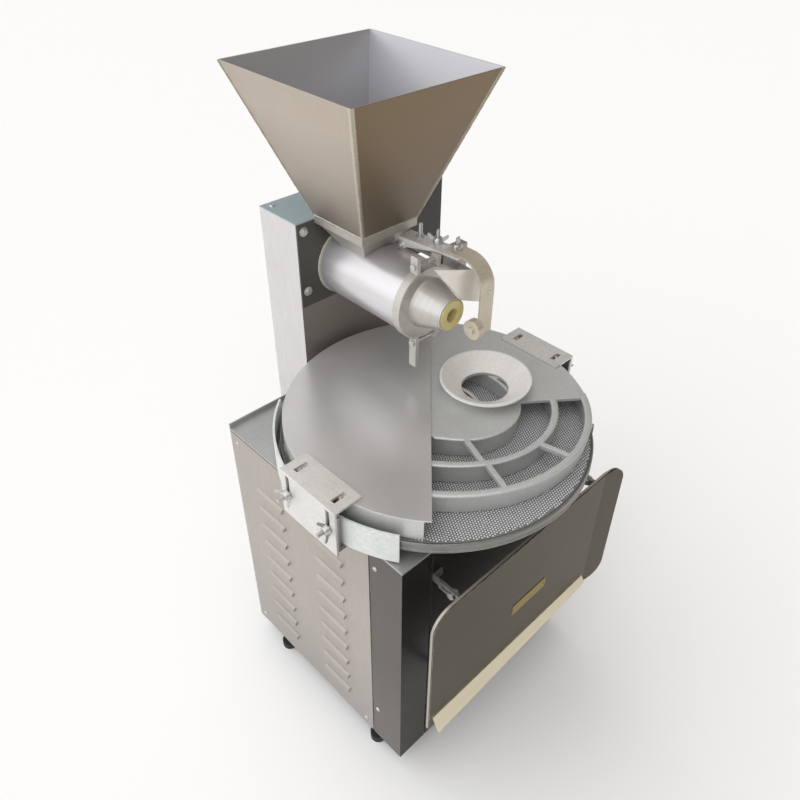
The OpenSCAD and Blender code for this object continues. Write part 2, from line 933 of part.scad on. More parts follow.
module barrel() color("silver") difference() {
    rod_y(barrel_x, barrel_front, col_front, barrel_z, barrel_r);
    rod_y(barrel_x, barrel_front - over, col_front + over, barrel_z, bore_r);
    translate([hopper_x, hopper_y, barrel_z])
        span_box([-throat_w / 2, -throat_w / 2, 0], [throat_w / 2, throat_w / 2, barrel_r + over]);
}

// A square skirt under the hopper, narrowing to a saddle on the barrel
module hopper_neck() color("lightgray") difference() {
    skirt_in = neck_half - neck_t;
    narrow_h = skirt_low - neck_low + over;
    union() {
        translate([hopper_x - neck_half, hopper_y - neck_half, skirt_low])
            cube([2 * neck_half, 2 * neck_half, skirt_h]);
        translate([hopper_x, hopper_y, neck_low])
            frustum(throat_w + 2 * neck_t, 2 * (neck_half - neck_step), narrow_h);
    }
    translate([hopper_x - skirt_in, hopper_y - skirt_in, skirt_low + neck_t])
        cube([2 * skirt_in, 2 * skirt_in, skirt_h]);
    translate([hopper_x, hopper_y, neck_low - over])
        frustum(throat_w, 2 * (skirt_in - neck_step), narrow_h + neck_t + over);
    rod_y(barrel_x, barrel_front, col_front, barrel_z, barrel_r + seat_gap);
}

// A square frustum from its lower to its upper width
module frustum(low_w, high_w, height) {
    linear_extrude(height = height, scale = high_w / low_w)
        square(low_w, center = true);
}

module hopper() color("darkgray") translate([hopper_x, hopper_y, hopper_z]) difference() {
    spread = (hopper_w - hopper_low_w) * over / hopper_h;
    frustum(hopper_low_w, hopper_w, hopper_h);
    translate([0, 0, -over])
        frustum(hopper_low_w - 2 * hopper_t - spread, hopper_w - 2 * hopper_t + spread, hopper_h + 2 * over);
}

module auger_shaft() color("silver") {
    rod_y(barrel_x, auger_front, auger_tail, barrel_z, auger_shaft_r);
    cone_y(barrel_x, auger_front - auger_shaft_r, auger_front, barrel_z, auger_shaft_r / 2, auger_shaft_r);
}

// A flight that winds round the screw's shaft
module auger_flight() color("gainsboro") {
    length = flight_back - flight_front;
    root_r = auger_shaft_r + flight_root_gap;
    step = flight_width / flight_points;
    translate([barrel_x, flight_front, barrel_z])
        rotate([-quarter_turn, 0, 0])
            linear_extrude(height = length, twist = full_turn * length / auger_lead,
                           slices = ceil(flight_steps * length / auger_lead), $fn = 2 * (flight_points + 1))
                polygon(concat(
                    [for (i = [0 : flight_points]) polar(flight_r, i * step)],
                    [for (i = [flight_points : -1 : 0]) polar(root_r, i * step)]));
}

module shaft_coupling() color("dimgray") {
    rod_y(barrel_x, auger_tail, coupling_back, barrel_z, coupling_r);
    rod_y(barrel_x, coupling_back, coupling_back + stub_l, barrel_z, stub_r);
}

// A gearbox behind a bell that covers the coupling, and its motor
module screw_gearmotor() color("steelblue") difference() {
    union() {
        rod_y(barrel_x, mount_back, gearbox_front + gearbox_l, barrel_z, bell_r);
        rod_y(barrel_x, gearbox_front + gearbox_l, col_back - sheet_t, barrel_z, gear_motor_r);
    }
    rod_y(barrel_x, mount_back - over, gearbox_front, barrel_z, bell_inner_r);
    rod_y(barrel_x, gearbox_front - over, coupling_back + stub_l + coupling_gap, barrel_z, stub_r + run_gap);
}

module nozzle() color("silver") difference() {
    union() {
        rod_y(barrel_x, barrel_front - collar_t, barrel_front, barrel_z, barrel_r);
        cone_y(barrel_x, nozzle_front, barrel_front - collar_t, barrel_z, nose_r, nozzle_r);
    }
    cone_y(barrel_x, nozzle_front + insert_l, barrel_front - collar_t, barrel_z, dough_r, nozzle_r - nozzle_wall);
    cone_y(barrel_x, barrel_front - collar_t, barrel_front, barrel_z, nozzle_r - nozzle_wall, bore_r);
    rod_y(barrel_x, nozzle_front - over, nozzle_front + insert_l, barrel_z, insert_r);
}

module nozzle_insert() color("khaki") difference() {
    rod_y(barrel_x, nozzle_front - insert_out, nozzle_front + insert_l, barrel_z, insert_r - run_gap);
    rod_y(barrel_x, nozzle_front - insert_out - over, nozzle_front + insert_l + over, barrel_z, dough_r);
}

// Half of the clamp ring on the left of the barrel's axis, with an ear above and one below
module clamp_half(low_ear_h, high_ear_h) {
    difference() {
        union() {
            intersection() {
                rod_y(0, clamp_front, clamp_back, 0, clamp_r);
                span_box([-2 * clamp_r, clamp_front, -clamp_r], [-ear_gap / 2, clamp_back, clamp_r]);
            }
            span_box([-ear_gap / 2 - ear_t, clamp_front, -clamp_r - low_ear_h],
                     [-ear_gap / 2, clamp_back, clamp_r + high_ear_h]);
        }
        rod_y(0, clamp_front - over, clamp_back + over, 0, barrel_r + seat_gap);
        for (z = [-ear_bolt_rise, ear_bolt_rise])
            rod_x(-ear_gap - ear_t, 0, barrel_front, z, stud_r);
    }
}

module left_clamp() color("whitesmoke") translate([barrel_x, 0, barrel_z])
    clamp_half(grip_h, tall_ear_h);

module right_clamp() color("whitesmoke") translate([barrel_x, 0, barrel_z])
    mirror([1, 0, 0])
        clamp_half(ear_h, ear_h);

module clamp_bolts() color("silver") {
    out = ear_gap / 2 + ear_t;
    for (rise = [-ear_bolt_rise, ear_bolt_rise]) {
        rod_x(barrel_x - out, barrel_x + out, barrel_front, barrel_z + rise, stud_r);
        for (x = [barrel_x - out - bolt_head_t, barrel_x + out])
            translate([x, barrel_front, barrel_z + rise])
                rotate([0, quarter_turn, 0])
                    cylinder(r = bolt_head_r, h = bolt_head_t, $fn = 6);
    }
}

// Cutter

// A saddle on the right clamp that carries the cutter's shaft and arm
module cutter_block() color("gray") difference() {
    span_box([barrel_x + block_left, clamp_front, barrel_z + block_low],
             [barrel_x + block_right, clamp_back, arm_low]);
    rod_y(barrel_x, clamp_front - over, clamp_back + over, barrel_z, clamp_r + seat_gap);
    rod_y(cutter_x, clamp_front - over, clamp_back + over, cutter_z, cutter_shaft_r + run_gap);
}

// An angled arm from the barrel's top forward over the block, with its left side and rear end turned down
module cutter_arm() color("lightgray") difference() {
    translate([barrel_x + arm_rear_dx, arm_rear_y, barrel_z])
        rotate([0, 0, arm_heading]) {
            span_box([0, -arm_w / 2, arm_rise], [arm_reach, arm_w / 2, arm_rise + arm_t]);
            span_box([0, -arm_w / 2, barrel_r - arm_t], [arm_t, arm_w / 2, arm_rise]);
            translate([0, arm_t - arm_w / 2, arm_rise + arm_t / 2])
                rotate([quarter_turn, 0, 0])
                    linear_extrude(height = arm_t)
                        polygon([[0, 0], [0, -arm_side_h], [arm_side_l, -arm_t], [arm_side_l, 0]]);
        }
    rod_y(barrel_x, barrel_front, col_front, barrel_z, barrel_r + seat_gap);
}

// A strip that runs forward on the arm and turns down in front of the blade
module cutter_guard() color("whitesmoke") translate([guard_left, 0, 0]) {
    span_box([0, guard_bend_y, arm_top], [guard_w, guard_rear, arm_top + guard_t]);
    intersection() {
        difference() {
            rod_x(0, guard_w, guard_bend_y, guard_bend_z, guard_r);
            rod_x(-over, guard_w + over, guard_bend_y, guard_bend_z, guard_r - guard_t);
        }
        span_box([0, guard_front, guard_bend_z], [guard_w, guard_bend_y, arm_top + guard_t]);
    }
    span_box([0, guard_front, guard_low], [guard_w, guard_front + guard_t, guard_bend_z]);
    rod_x(-guard_boss_l, 0, guard_boss_y, guard_boss_z, guard_boss_r);
    rod_x(-guard_boss_l - bolt_head_t, -guard_boss_l, guard_boss_y, guard_boss_z, bolt_head_r);
}

module cutter_shaft() color("silver")
    rod_y(cutter_x, blade_front - cutter_nut_l, cutter_tail, cutter_z, cutter_shaft_r);

module cutter_blade() color("whitesmoke") difference() {
    union() {
        translate([cutter_x, blade_back, cutter_z])
            rotate([quarter_turn, 0, 0])
                linear_extrude(height = blade_t)
                    polygon(blade_shares * blade_l);
        rod_y(cutter_x, blade_front, blade_back + blade_hub_l, cutter_z, blade_hub_r);
        rod_y(cutter_x, blade_front - cutter_nut_l, blade_front, cutter_z, cutter_nut_r);
    }
    rod_y(cutter_x, blade_front - cutter_nut_l - over, blade_back + blade_hub_l + over, cutter_z, cutter_shaft_r);
}

module cutter_motor() color("steelblue") difference() {
    rod_y(cutter_x, mount_back, mount_back + cutter_motor_l, cutter_z, cutter_motor_r);
    rod_y(cutter_x, mount_back - over, cutter_tail + over, cutter_z, cutter_shaft_r + run_gap);
}

// Front plate

// Outline of the plate with its upper corners rounded, a set distance inside its edge and below its lower edge
module plate_outline(inside, below) {
    w = plate_w / 2 - inside;
    h = plate_h - inside;
    r = plate_corner_r - inside;
    translate([-w, -below])
        square([2 * w, h - r + below]);
    translate([r - w, 0])
        square([2 * (w - r), h]);
    for (side = [-1, 1])
        translate([side * (w - r), h - r])
            circle(r = r);
}

// The same outline with its lower right corner rounded
module cornered_outline(inside, below) {
    corner_x = plate_w / 2 - plate_low_r;
    difference() {
        plate_outline(inside, below);
        difference() {
            translate([corner_x, -below - over])
                square([2 * plate_low_r, plate_low_r + below + over]);
            translate([corner_x, plate_low_r])
                circle(r = plate_low_r - inside);
        }
    }
}

// A point of the crease, and one on the bent wing, a set distance behind the front face
function crease_point(behind) = [crease_x + behind * tan(wing_bend / 2), plate_front + behind];
function wing_point(along, behind) =
    [crease_x, plate_front] + along * polar(1, -wing_bend) + behind * polar(1, quarter_turn - wing_bend);

// All that lies between two distances behind the bent front face, inside an outline
module bent_layer(from, to, inside, below) {
    intersection() {
        translate([0, 0, plate_low - lip_w])
            linear_extrude(height = plate_h + 2 * lip_w)
                polygon([
                    [-plate_w, plate_front + from],
                    crease_point(from),
                    wing_point(plate_w, from),
                    wing_point(plate_w, to),
                    crease_point(to),
                    [-plate_w, plate_front + to]]);
        translate([0, plate_back + plate_h, plate_low])
            rotate([quarter_turn, 0, 0])
                linear_extrude(height = 2 * plate_h)
                    cornered_outline(inside, below);
    }
}

// A tapered strip that is folded out and down along the plate's lower part
module lip(x0, x1) {
    rotate([lip_slope, 0, 0])
        linear_extrude(height = plate_t)
            polygon([[x0, plate_t], [x0, -lip_w], [x1, -lip_end_w], [x1, plate_t]]);
}

module front_plate() color("gray") {
    difference() {
        bent_layer(0, plate_t + flange_d, 0, 0);
        bent_layer(plate_t, plate_t + flange_d + over, plate_t, lip_w);
    }
    translate([0, plate_front, plate_low + lip_rise])
        lip(lip_inset - plate_w / 2, crease_x - lip_inset);
    span_box([-blank_w / 2, plate_front - blank_t, blank_z - blank_h / 2],
             [blank_w / 2, plate_front, blank_z + blank_h / 2]);
}

// The bars that are fixed to the cabinet
module fixed_bars() color("silver") both_sides() {
    for (z = bar_heights)
        difference() {
            union() {
                span_box([bar_x_out, -cab_front - bar_reach, z - bar_h / 2],
                         [bar_x_out + bar_t, -cab_front, z + bar_h / 2]);
                span_box([bar_x_in, -cab_front - bar_t, z - bar_h / 2], [bar_x_out, -cab_front, z + bar_h / 2]);
            }
            rod_x(bar_x_out - over, bar_x_out + bar_t + over, bar_bolt_y, z, bar_bolt_r);
        }
}

// The slotted bars that ride with the front plate
module slide_bars() color("silver") both_sides() {
    slot_front = bar_bolt_y - plate_in - bar_bolt_r - bolt_gap;
    slot_rear = bar_bolt_y + plate_out + bar_bolt_r + bolt_gap;
    slot_half = bar_bolt_r + bolt_gap;
    for (z = bar_heights)
        difference() {
            union() {
                span_box([slide_bar_x, plate_back, z - bar_h / 2],
                         [slide_bar_x + bar_t, slot_rear + bar_slot_wall, z + bar_h / 2]);
                span_box([slide_bar_x - bar_tab_w, plate_back, z - bar_h / 2],
                         [slide_bar_x, plate_back + bar_t, z + bar_h / 2]);
            }
            span_box([slide_bar_x - over, slot_front, z - slot_half],
                     [slide_bar_x + bar_t + over, slot_rear, z + slot_half]);
        }
}

// The bolts that clamp each pair of bars
module bar_bolts() color("silver") both_sides() {
    outer_face = slide_bar_x + bar_t + move_gap;
    for (z = bar_heights) {
        rod_x(bar_x_out - bolt_head_t, bar_x_out, bar_bolt_y, z, bolt_head_r);
        rod_x(bar_x_out, outer_face, bar_bolt_y, z, bar_bolt_r);
        rod_x(outer_face, outer_face + bolt_head_t, bar_bolt_y, z, bolt_head_r);
    }
}

// Controls

module control_box() color("dimgray") difference() {
    span_box([col_right, box_front, box_low], [box_right, box_front + box_d, box_top]);
    span_box([col_right - over, box_front + sheet_t, box_low + sheet_t],
             [box_right - sheet_t, box_front + box_d - sheet_t, box_top - sheet_t]);
    for (z = [stop_z, start_z])
        rod_x(box_right - sheet_t - over, box_right + over, control_y, z, button_r + run_gap);
    rod_x(box_right - sheet_t - over, box_right + over, control_y, knob_z, knob_shaft_r + run_gap);
}

module cable_gland() color("black") {
    translate([gland_x, control_y, box_low - gland_nut_l])
        cylinder(r = gland_nut_r, h = gland_nut_l, $fn = 6);
    rod_z(gland_x, control_y, box_low - gland_l, box_low - gland_nut_l, gland_r);
}

// A round push button, kept in by a flange behind the box's wall
module push_button(z) {
    wall = box_right - sheet_t;
    rod_x(wall - button_in, box_right + button_out, control_y, z, button_r);
    rod_x(wall - button_flange_t - seat_gap, wall - seat_gap, control_y, z, button_r + button_flange_w);
}

module start_button() color("green") push_button(start_z);

module stop_button() color("red") push_button(stop_z);

module speed_knob() color("black") {
    rod_x(box_right + bolt_gap, box_right + knob_l, control_y, knob_z, knob_r);
    rod_x(box_right - knob_shaft_in, box_right + bolt_gap, control_y, knob_z, knob_shaft_r);
}

base_frame();
top_plate();
front_post_covers();
front_panel();
left_panel();
right_panel();
back_panel();
feet_pads();
feet_studs();
cover_screws();
bearing_housing();
motor_plate();
disc_motor();
drive_belt();
uprights();
upright_studs();
side_band();
column_shell();
column_lid();
mounting_plate();
barrel();
hopper_neck();
hopper();
screw_gearmotor();
nozzle();
nozzle_insert();
left_clamp();
right_clamp();
clamp_bolts();
cutter_block();
cutter_arm();
cutter_guard();
cutter_motor();
fixed_bars();
bar_bolts();
control_box();
cable_gland();
disc_plate();
disc_mat();
disc_spindle();
disc_pulley();
motor_pulley();
track_casting();
half_cover();
funnel();
hold_brackets();
wing_nut_left_front();
wing_nut_left_rear();
wing_nut_right_front();
wing_nut_right_rear();
auger_shaft();
auger_flight();
shaft_coupling();
cutter_shaft();
cutter_blade();
front_plate();
slide_bars();
start_button();
stop_button();
speed_knob();
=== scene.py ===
# %% [markdown]
# A bakery divider rounder, dressed in Blender.
#
# The solids of the machine come packed as a frame: every solid is in metres and already in its place. They
# could be modelled again as smoother meshes, but most of a machine is bent sheet and turned steel, which
# solids already show well. So this lesson keeps the solids, gives each of them a finish, and adds the small
# pieces that a solid model leaves out: the studs of the mat, weld beads, wing nuts, screw heads, and the
# things on the control box.

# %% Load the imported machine
import math

import bpy
from mathutils import Matrix, Vector


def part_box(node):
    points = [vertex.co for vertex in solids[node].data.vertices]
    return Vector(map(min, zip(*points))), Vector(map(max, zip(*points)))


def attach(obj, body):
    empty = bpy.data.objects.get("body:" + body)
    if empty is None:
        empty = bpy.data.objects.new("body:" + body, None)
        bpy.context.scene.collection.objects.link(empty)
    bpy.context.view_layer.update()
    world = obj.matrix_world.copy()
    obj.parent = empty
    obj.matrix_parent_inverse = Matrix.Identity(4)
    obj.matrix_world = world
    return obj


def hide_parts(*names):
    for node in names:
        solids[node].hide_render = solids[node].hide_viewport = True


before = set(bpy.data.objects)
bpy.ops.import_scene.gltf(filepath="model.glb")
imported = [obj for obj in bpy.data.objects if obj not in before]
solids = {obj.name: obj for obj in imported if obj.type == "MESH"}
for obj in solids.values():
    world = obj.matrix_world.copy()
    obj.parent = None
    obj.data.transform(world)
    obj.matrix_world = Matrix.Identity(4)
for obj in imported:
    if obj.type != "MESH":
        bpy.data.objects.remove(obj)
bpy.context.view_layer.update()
scene = bpy.context.scene
MM = 0.001

# %% [markdown]
# The camera stands to the left of the machine and above it, and looks down across the disc. A camera can be
# aimed with a tracking constraint, but here the lens, the place and the three angles are all known, so its
# matrix is written out. The picture's centre was moved a little when it was cropped, and the lens shift
# does the same.

# %% Camera
PICTURE_PX = 800
FOCAL_PX = 755
SENSOR_MM = 36
CAMERA_PLACE = Vector((-0.763, -0.6995, 1.5495))
HEADING, DIP, TILT = (math.radians(angle) for angle in (46.1, 37.3, 1.8))
CENTRE_RIGHT_PX, CENTRE_DOWN_PX = 24.4, -22.8

ahead = Vector((math.sin(HEADING) * math.cos(DIP), math.cos(HEADING) * math.cos(DIP), -math.sin(DIP)))
level = Vector((math.cos(HEADING), -math.sin(HEADING), 0))
above = level.cross(ahead)
across = math.cos(TILT) * level + math.sin(TILT) * above
upward = -math.sin(TILT) * level + math.cos(TILT) * above
lens = bpy.data.cameras.new("shop_camera")
lens.sensor_width = SENSOR_MM
lens.lens = SENSOR_MM * FOCAL_PX / PICTURE_PX
lens.shift_x = -CENTRE_RIGHT_PX / PICTURE_PX
lens.shift_y = CENTRE_DOWN_PX / PICTURE_PX
camera = bpy.data.objects.new("shop_camera", lens)
scene.collection.objects.link(camera)
aim = Matrix((across, upward, -ahead)).transposed().to_4x4()
camera.matrix_world = Matrix.Translation(CAMERA_PLACE) @ aim
scene.camera = camera
print("lens in mm:", round(lens.lens, 2))

# %% [markdown]
# A material in Blender is a small network of nodes. Many of the machine's finishes share an effect, such as
# brushed lines or rubbed edges. Each effect could be wired again in every material, but a node group is
# made once and then placed with its own values. These two helpers keep the wiring short: one makes a node
# and fills its inputs, and the other makes an empty group with named sockets.

# %% Helpers for nodes
def wire(tree, kind, fill=None, out=0, **settings):
    """Makes a node, fills its inputs with values or with nodes' outputs, and gives one of its own outputs."""
    node = tree.nodes.new(kind)
    for key, value in settings.items():
        setattr(node, key, value)
    for socket, value in (fill or {}).items():
        if isinstance(value, bpy.types.NodeSocket):
            tree.links.new(value, node.inputs[socket])
        else:
            node.inputs[socket].default_value = value
    return node.outputs[out]


def empty_group(name, inputs, outputs):
    """A shader node group with named sockets, its inputs by name, and a function that fills its outputs."""
    group = bpy.data.node_groups.new(name, "ShaderNodeTree")
    for label, (kind, value) in inputs.items():
        group.interface.new_socket(label, in_out="INPUT", socket_type=kind).default_value = value
    for label, kind in outputs.items():
        group.interface.new_socket(label, in_out="OUTPUT", socket_type=kind)
    enter, leave = group.nodes.new("NodeGroupInput"), group.nodes.new("NodeGroupOutput")

    def give(**results):
        for label, socket in results.items():
            group.links.new(socket, leave.inputs[label])

    return group, enter.outputs, give


NUMBER, DIRECTION = "NodeSocketFloat", "NodeSocketVector"
COLOUR_A, COLOUR_B, COLOUR_OUT = 6, 7, 2


def mix(tree, share, first, second, **settings):
    """One colour over another, by a share from 0 to 1."""
    fill = {0: share, COLOUR_A: first, COLOUR_B: second}
    return wire(tree, "ShaderNodeMix", fill, COLOUR_OUT, data_type="RGBA", **settings)


def stretch(tree, value, low, high, new_low=0.0, new_high=1.0):
    """A value moved from one range to another, held at both ends."""
    fill = {"Value": value, "From Min": low, "From Max": high, "To Min": new_low, "To Max": new_high}
    return wire(tree, "ShaderNodeMapRange", fill)


print("helpers ready")

# %% [markdown]
# Sheet steel leaves the mill with fine parallel lines. They could be drawn as a picture, but a picture
# needs seams and a map. Noise that is squeezed across the lines and drawn out along them has neither, and
# it reads the piece's own coordinates, so the lines stay with the piece when it moves.

# %% Group: brushed lines
lines_group, given, give = empty_group(
    "brushed lines", {"Squeeze": (DIRECTION, (60, 900, 900))}, {"Tone": NUMBER})
spot = wire(lines_group, "ShaderNodeTexCoord", out="Object")
squeezed = wire(lines_group, "ShaderNodeVectorMath", {0: spot, 1: given["Squeeze"]}, operation="MULTIPLY")
tone = wire(lines_group, "ShaderNodeTexNoise",
            {"Vector": squeezed, "Scale": 1.0, "Detail": 3.0, "Roughness": 0.6})
give(Tone=tone)
print("made", lines_group.name)

# %% [markdown]
# Hands, flour and wiping leave cloudy marks on every sheet. One soft noise gives large clouds, and its finer
# detail breaks up their edges.

# %% Group: wiped clouds
clouds_group, given, give = empty_group(
    "wiped clouds", {"Scale": (NUMBER, 6.0), "From": (NUMBER, 0.45), "To": (NUMBER, 0.7)}, {"Mask": NUMBER})
spot = wire(clouds_group, "ShaderNodeTexCoord", out="Object")
cloud = wire(clouds_group, "ShaderNodeTexNoise",
             {"Vector": spot, "Scale": given["Scale"], "Detail": 5.0, "Roughness": 0.55, "Distortion": 0.6})
give(Mask=stretch(clouds_group, cloud, given["From"], given["To"]))
print("made", clouds_group.name)

# %% [markdown]
# Corners of sheet metal are never razor sharp, and they shine where they are rubbed. The corners could be
# cut with a bevel on every mesh. The Bevel node does it in the shader instead: it rounds the normal near a
# corner, and where that rounded normal leaves the true one, the corner is worn.

# %% Group: rubbed edges
edges_group, given, give = empty_group(
    "rubbed edges", {"Radius": (NUMBER, 0.0012)}, {"Mask": NUMBER, "Normal": DIRECTION})
rounded = wire(edges_group, "ShaderNodeBevel", {"Radius": given["Radius"]}, samples=4)
flat = wire(edges_group, "ShaderNodeNewGeometry", out="Normal")
agree = wire(edges_group, "ShaderNodeVectorMath", {0: rounded, 1: flat}, "Value", operation="DOT_PRODUCT")
spot = wire(edges_group, "ShaderNodeTexCoord", out="Object")
chips = wire(edges_group, "ShaderNodeTexNoise", {"Vector": spot, "Scale": 90.0, "Detail": 2.0})
parting, chipping = stretch(edges_group, agree, 0.99, 0.86), stretch(edges_group, chips, 0.3, 0.6)
rub = wire(edges_group, "ShaderNodeMath", {0: parting, 1: chipping}, operation="MULTIPLY")
give(Mask=rub, Normal=rounded)
print("made", edges_group.name)

# %% [markdown]
# Cast aluminium has a skin of tiny pits from the mould. A cell pattern gives the pits and a fine noise the
# grain.

# %% Group: cast skin
skin_group, given, give = empty_group(
    "cast skin", {"Scale": (NUMBER, 700.0)}, {"Tone": NUMBER, "Height": NUMBER})
spot = wire(skin_group, "ShaderNodeTexCoord", out="Object")
pits = wire(skin_group, "ShaderNodeTexVoronoi", {"Vector": spot, "Scale": given["Scale"]}, "Distance")
grain = wire(skin_group, "ShaderNodeTexNoise", {"Vector": spot, "Scale": given["Scale"], "Detail": 3.0})
both = wire(skin_group, "ShaderNodeMath", {0: pits, 1: grain}, operation="MULTIPLY")
give(Tone=grain, Height=both)
print("made", skin_group.name)

# %% [markdown]
# Dust gathers low on the cabinet, and shade near the floor is painted there too. This group gives a soft band
# between two heights.

# %% Group: height band
band_group, given, give = empty_group(
    "height band", {"Low": (NUMBER, 0.0), "High": (NUMBER, 0.2)}, {"Mask": NUMBER})
spot = wire(band_group, "ShaderNodeTexCoord", out="Object")
height = wire(band_group, "ShaderNodeSeparateXYZ", {0: spot}, "Z")
give(Mask=stretch(band_group, height, given["Low"], given["High"], 1.0, 0.0))
print("made", band_group.name)

# %% [markdown]
# With the groups in hand, a finish is a short recipe: two tones of one colour, how metallic and how rough
# it is, the grain that it shows, and how much its edges are worn. Steel, paint and plastic are all made by
# the same function, so that the machine's finishes belong together.

# %% A function for finishes
PLAIN_GRAIN = (220, 220, 220)
CLOUD_TONE, CLOUD_SHARE = 0.41, 0.5
# The band low on the sheets is partly dust and partly painted shade near the floor.
DUST_AND_SHADE_LOW, DUST_AND_SHADE_HIGH, DUST_AND_SHADE_COLOUR = 0.05, 0.32, (0.30, 0.29, 0.29, 1)
BUMP_DEPTH = 0.001


def put_group(tree, group, **values):
    """A node that holds a group, with its inputs set by name."""
    node = tree.nodes.new("ShaderNodeGroup")
    node.node_tree = group
    for label, value in values.items():
        node.inputs[label].default_value = value
    return node.outputs


def finish(name, dark, light, metallic, rough, lines=None, cast=None, clouds=6.0, worn=None, worn_share=0.6,
           bump=0.05, dust_and_shade=0.0, edge=0.0012, coat=0.0):
    """A material from two tones, with lines or a cast skin, wiped clouds, dust and painted shade low down and
    worn edges.
    """
    made = bpy.data.materials.new(name)
    made.use_nodes = True
    tree = made.node_tree
    shader = tree.nodes["Principled BSDF"]
    shader.inputs["Metallic"].default_value = metallic
    shader.inputs["Coat Weight"].default_value = coat
    edges = put_group(tree, edges_group, Radius=edge)
    if cast:
        skin = put_group(tree, skin_group, Scale=cast)
        tone, relief = skin["Tone"], skin["Height"]
    else:
        tone = put_group(tree, lines_group, Squeeze=lines or PLAIN_GRAIN)["Tone"]
        relief = tone
    colour = mix(tree, stretch(tree, tone, 0.3, 0.7), (*dark, 1), (*light, 1))
    if clouds:
        cloud = put_group(tree, clouds_group, Scale=clouds)["Mask"]
        wiped = [CLOUD_TONE * (a + b) for a, b in zip(dark, light)]
        colour = mix(tree, stretch(tree, cloud, 0, 1, 0, CLOUD_SHARE), colour, (*wiped, 1))
    if dust_and_shade:
        low = put_group(tree, band_group, Low=DUST_AND_SHADE_LOW, High=DUST_AND_SHADE_HIGH)["Mask"]
        colour = mix(tree, stretch(tree, low, 0, 1, 0, dust_and_shade), colour, DUST_AND_SHADE_COLOUR)
    if worn:
        colour = mix(tree, stretch(tree, edges["Mask"], 0, 1, 0, worn_share), colour, (*worn, 1))
    tree.links.new(colour, shader.inputs["Base Color"])
    tree.links.new(stretch(tree, tone, 0.25, 0.75, rough[0], rough[1]), shader.inputs["Roughness"])
    normal = wire(tree, "ShaderNodeBump",
                  {"Height": relief, "Strength": bump, "Distance": BUMP_DEPTH, "Normal": edges["Normal"]})
    tree.links.new(normal, shader.inputs["Normal"])
    return made


print("finish() makes one material from a recipe")

# %% [markdown]
# The recipes follow the machine from the cabinet up. The cabinet is brushed stainless sheet with a warm
# cast, and its front is painted nearly black as painted shade. The column is paler, nearly white, and the
# disc's cover is plain brushed steel. The colours are close to those that plain light would show, so that the
# machine also looks about right under other lamps, except where shade or a highlight is painted into them.

# %% Finishes for the sheet metal
panel_steel = finish("cabinet sheet", (0.38, 0.345, 0.31), (0.47, 0.43, 0.39), 0.5, (0.36, 0.5),
                     lines=(500, 500, 40), clouds=2.5, worn=(0.66, 0.63, 0.59), dust_and_shade=0.45)
post_steel = finish("post cover sheet", (0.09, 0.08, 0.07), (0.13, 0.116, 0.103), 0.55, (0.34, 0.48),
                    lines=(600, 600, 40), clouds=4, worn=(0.5, 0.47, 0.43), dust_and_shade=0.2)
# Painted shade: the front sheet's nearly black colour stands in for the shade on a front that faces away from
# the light.
front_shade_steel = finish("front sheet", (0.018, 0.015, 0.013), (0.03, 0.026, 0.022), 0.4, (0.36, 0.5),
                     lines=(40, 600, 600), clouds=3, worn=(0.24, 0.22, 0.2), dust_and_shade=0.1)
column_steel = finish("column sheet", (0.60, 0.575, 0.575), (0.69, 0.67, 0.67), 0.3, (0.34, 0.46),
                      lines=(500, 500, 30), clouds=2.5, worn=(0.82, 0.8, 0.8))
lid_steel = finish("lid sheet", (0.33, 0.42, 0.44), (0.42, 0.515, 0.545), 0.45, (0.34, 0.48),
                   lines=(40, 600, 600), clouds=7, worn=(0.72, 0.74, 0.74))
top_steel = finish("top sheet", (0.37, 0.375, 0.365), (0.46, 0.465, 0.455), 0.45, (0.36, 0.5),
                   lines=(40, 600, 600), clouds=6, worn=(0.7, 0.7, 0.68))
cover_steel = finish("disc cover sheet", (0.665, 0.655, 0.65), (0.685, 0.675, 0.67), 0.65, (0.30, 0.33),
                     lines=(500, 40, 500), clouds=3.5, worn=(0.8, 0.79, 0.76), bump=0.004)
hopper_steel = finish("hopper sheet", (0.445, 0.38, 0.315), (0.525, 0.45, 0.38), 0.55, (0.32, 0.44),
                      lines=(320, 320, 320), clouds=4, worn=(0.76, 0.71, 0.63), bump=0.02)
neck_steel = finish("neck sheet", (0.40, 0.375, 0.345), (0.50, 0.475, 0.44), 0.6, (0.3, 0.44),
                    lines=(60, 60, 700), clouds=14, worn=(0.75, 0.73, 0.7))
bright_steel = finish("bright sheet", (0.68, 0.665, 0.64), (0.80, 0.785, 0.76), 0.55, (0.3, 0.46),
                      cast=260, clouds=20, worn=(0.9, 0.89, 0.86), bump=0.06)
print("sheet finishes ready")

# %% Finishes for turned, cast and moving pieces
barrel_steel = finish("barrel tube", (0.67, 0.655, 0.67), (0.74, 0.725, 0.74), 0.65, (0.28, 0.36),
                      lines=(500, 25, 500), clouds=4, worn=(0.85, 0.84, 0.85), bump=0.015)
nozzle_steel = finish("turned nozzle", (0.50, 0.485, 0.455), (0.62, 0.605, 0.575), 0.7, (0.26, 0.36),
                      lines=(30, 900, 30), clouds=12, worn=(0.86, 0.84, 0.8), bump=0.03)
cast_alloy = finish("cast track", (0.53, 0.535, 0.525), (0.65, 0.655, 0.645), 0.5, (0.36, 0.52),
                    cast=420, clouds=9, worn=(0.86, 0.86, 0.84), bump=0.15, worn_share=0.8)
clamp_alloy = finish("cast clamp", (0.50, 0.475, 0.43), (0.62, 0.60, 0.56), 0.4, (0.34, 0.5),
                     cast=420, clouds=18, worn=(0.9, 0.88, 0.83), bump=0.2)
disc_alloy = finish("turned disc", (0.18, 0.176, 0.162), (0.28, 0.275, 0.255), 0.7, (0.28, 0.42),
                    lines=(300, 300, 1500), clouds=10, worn=(0.8, 0.8, 0.78))
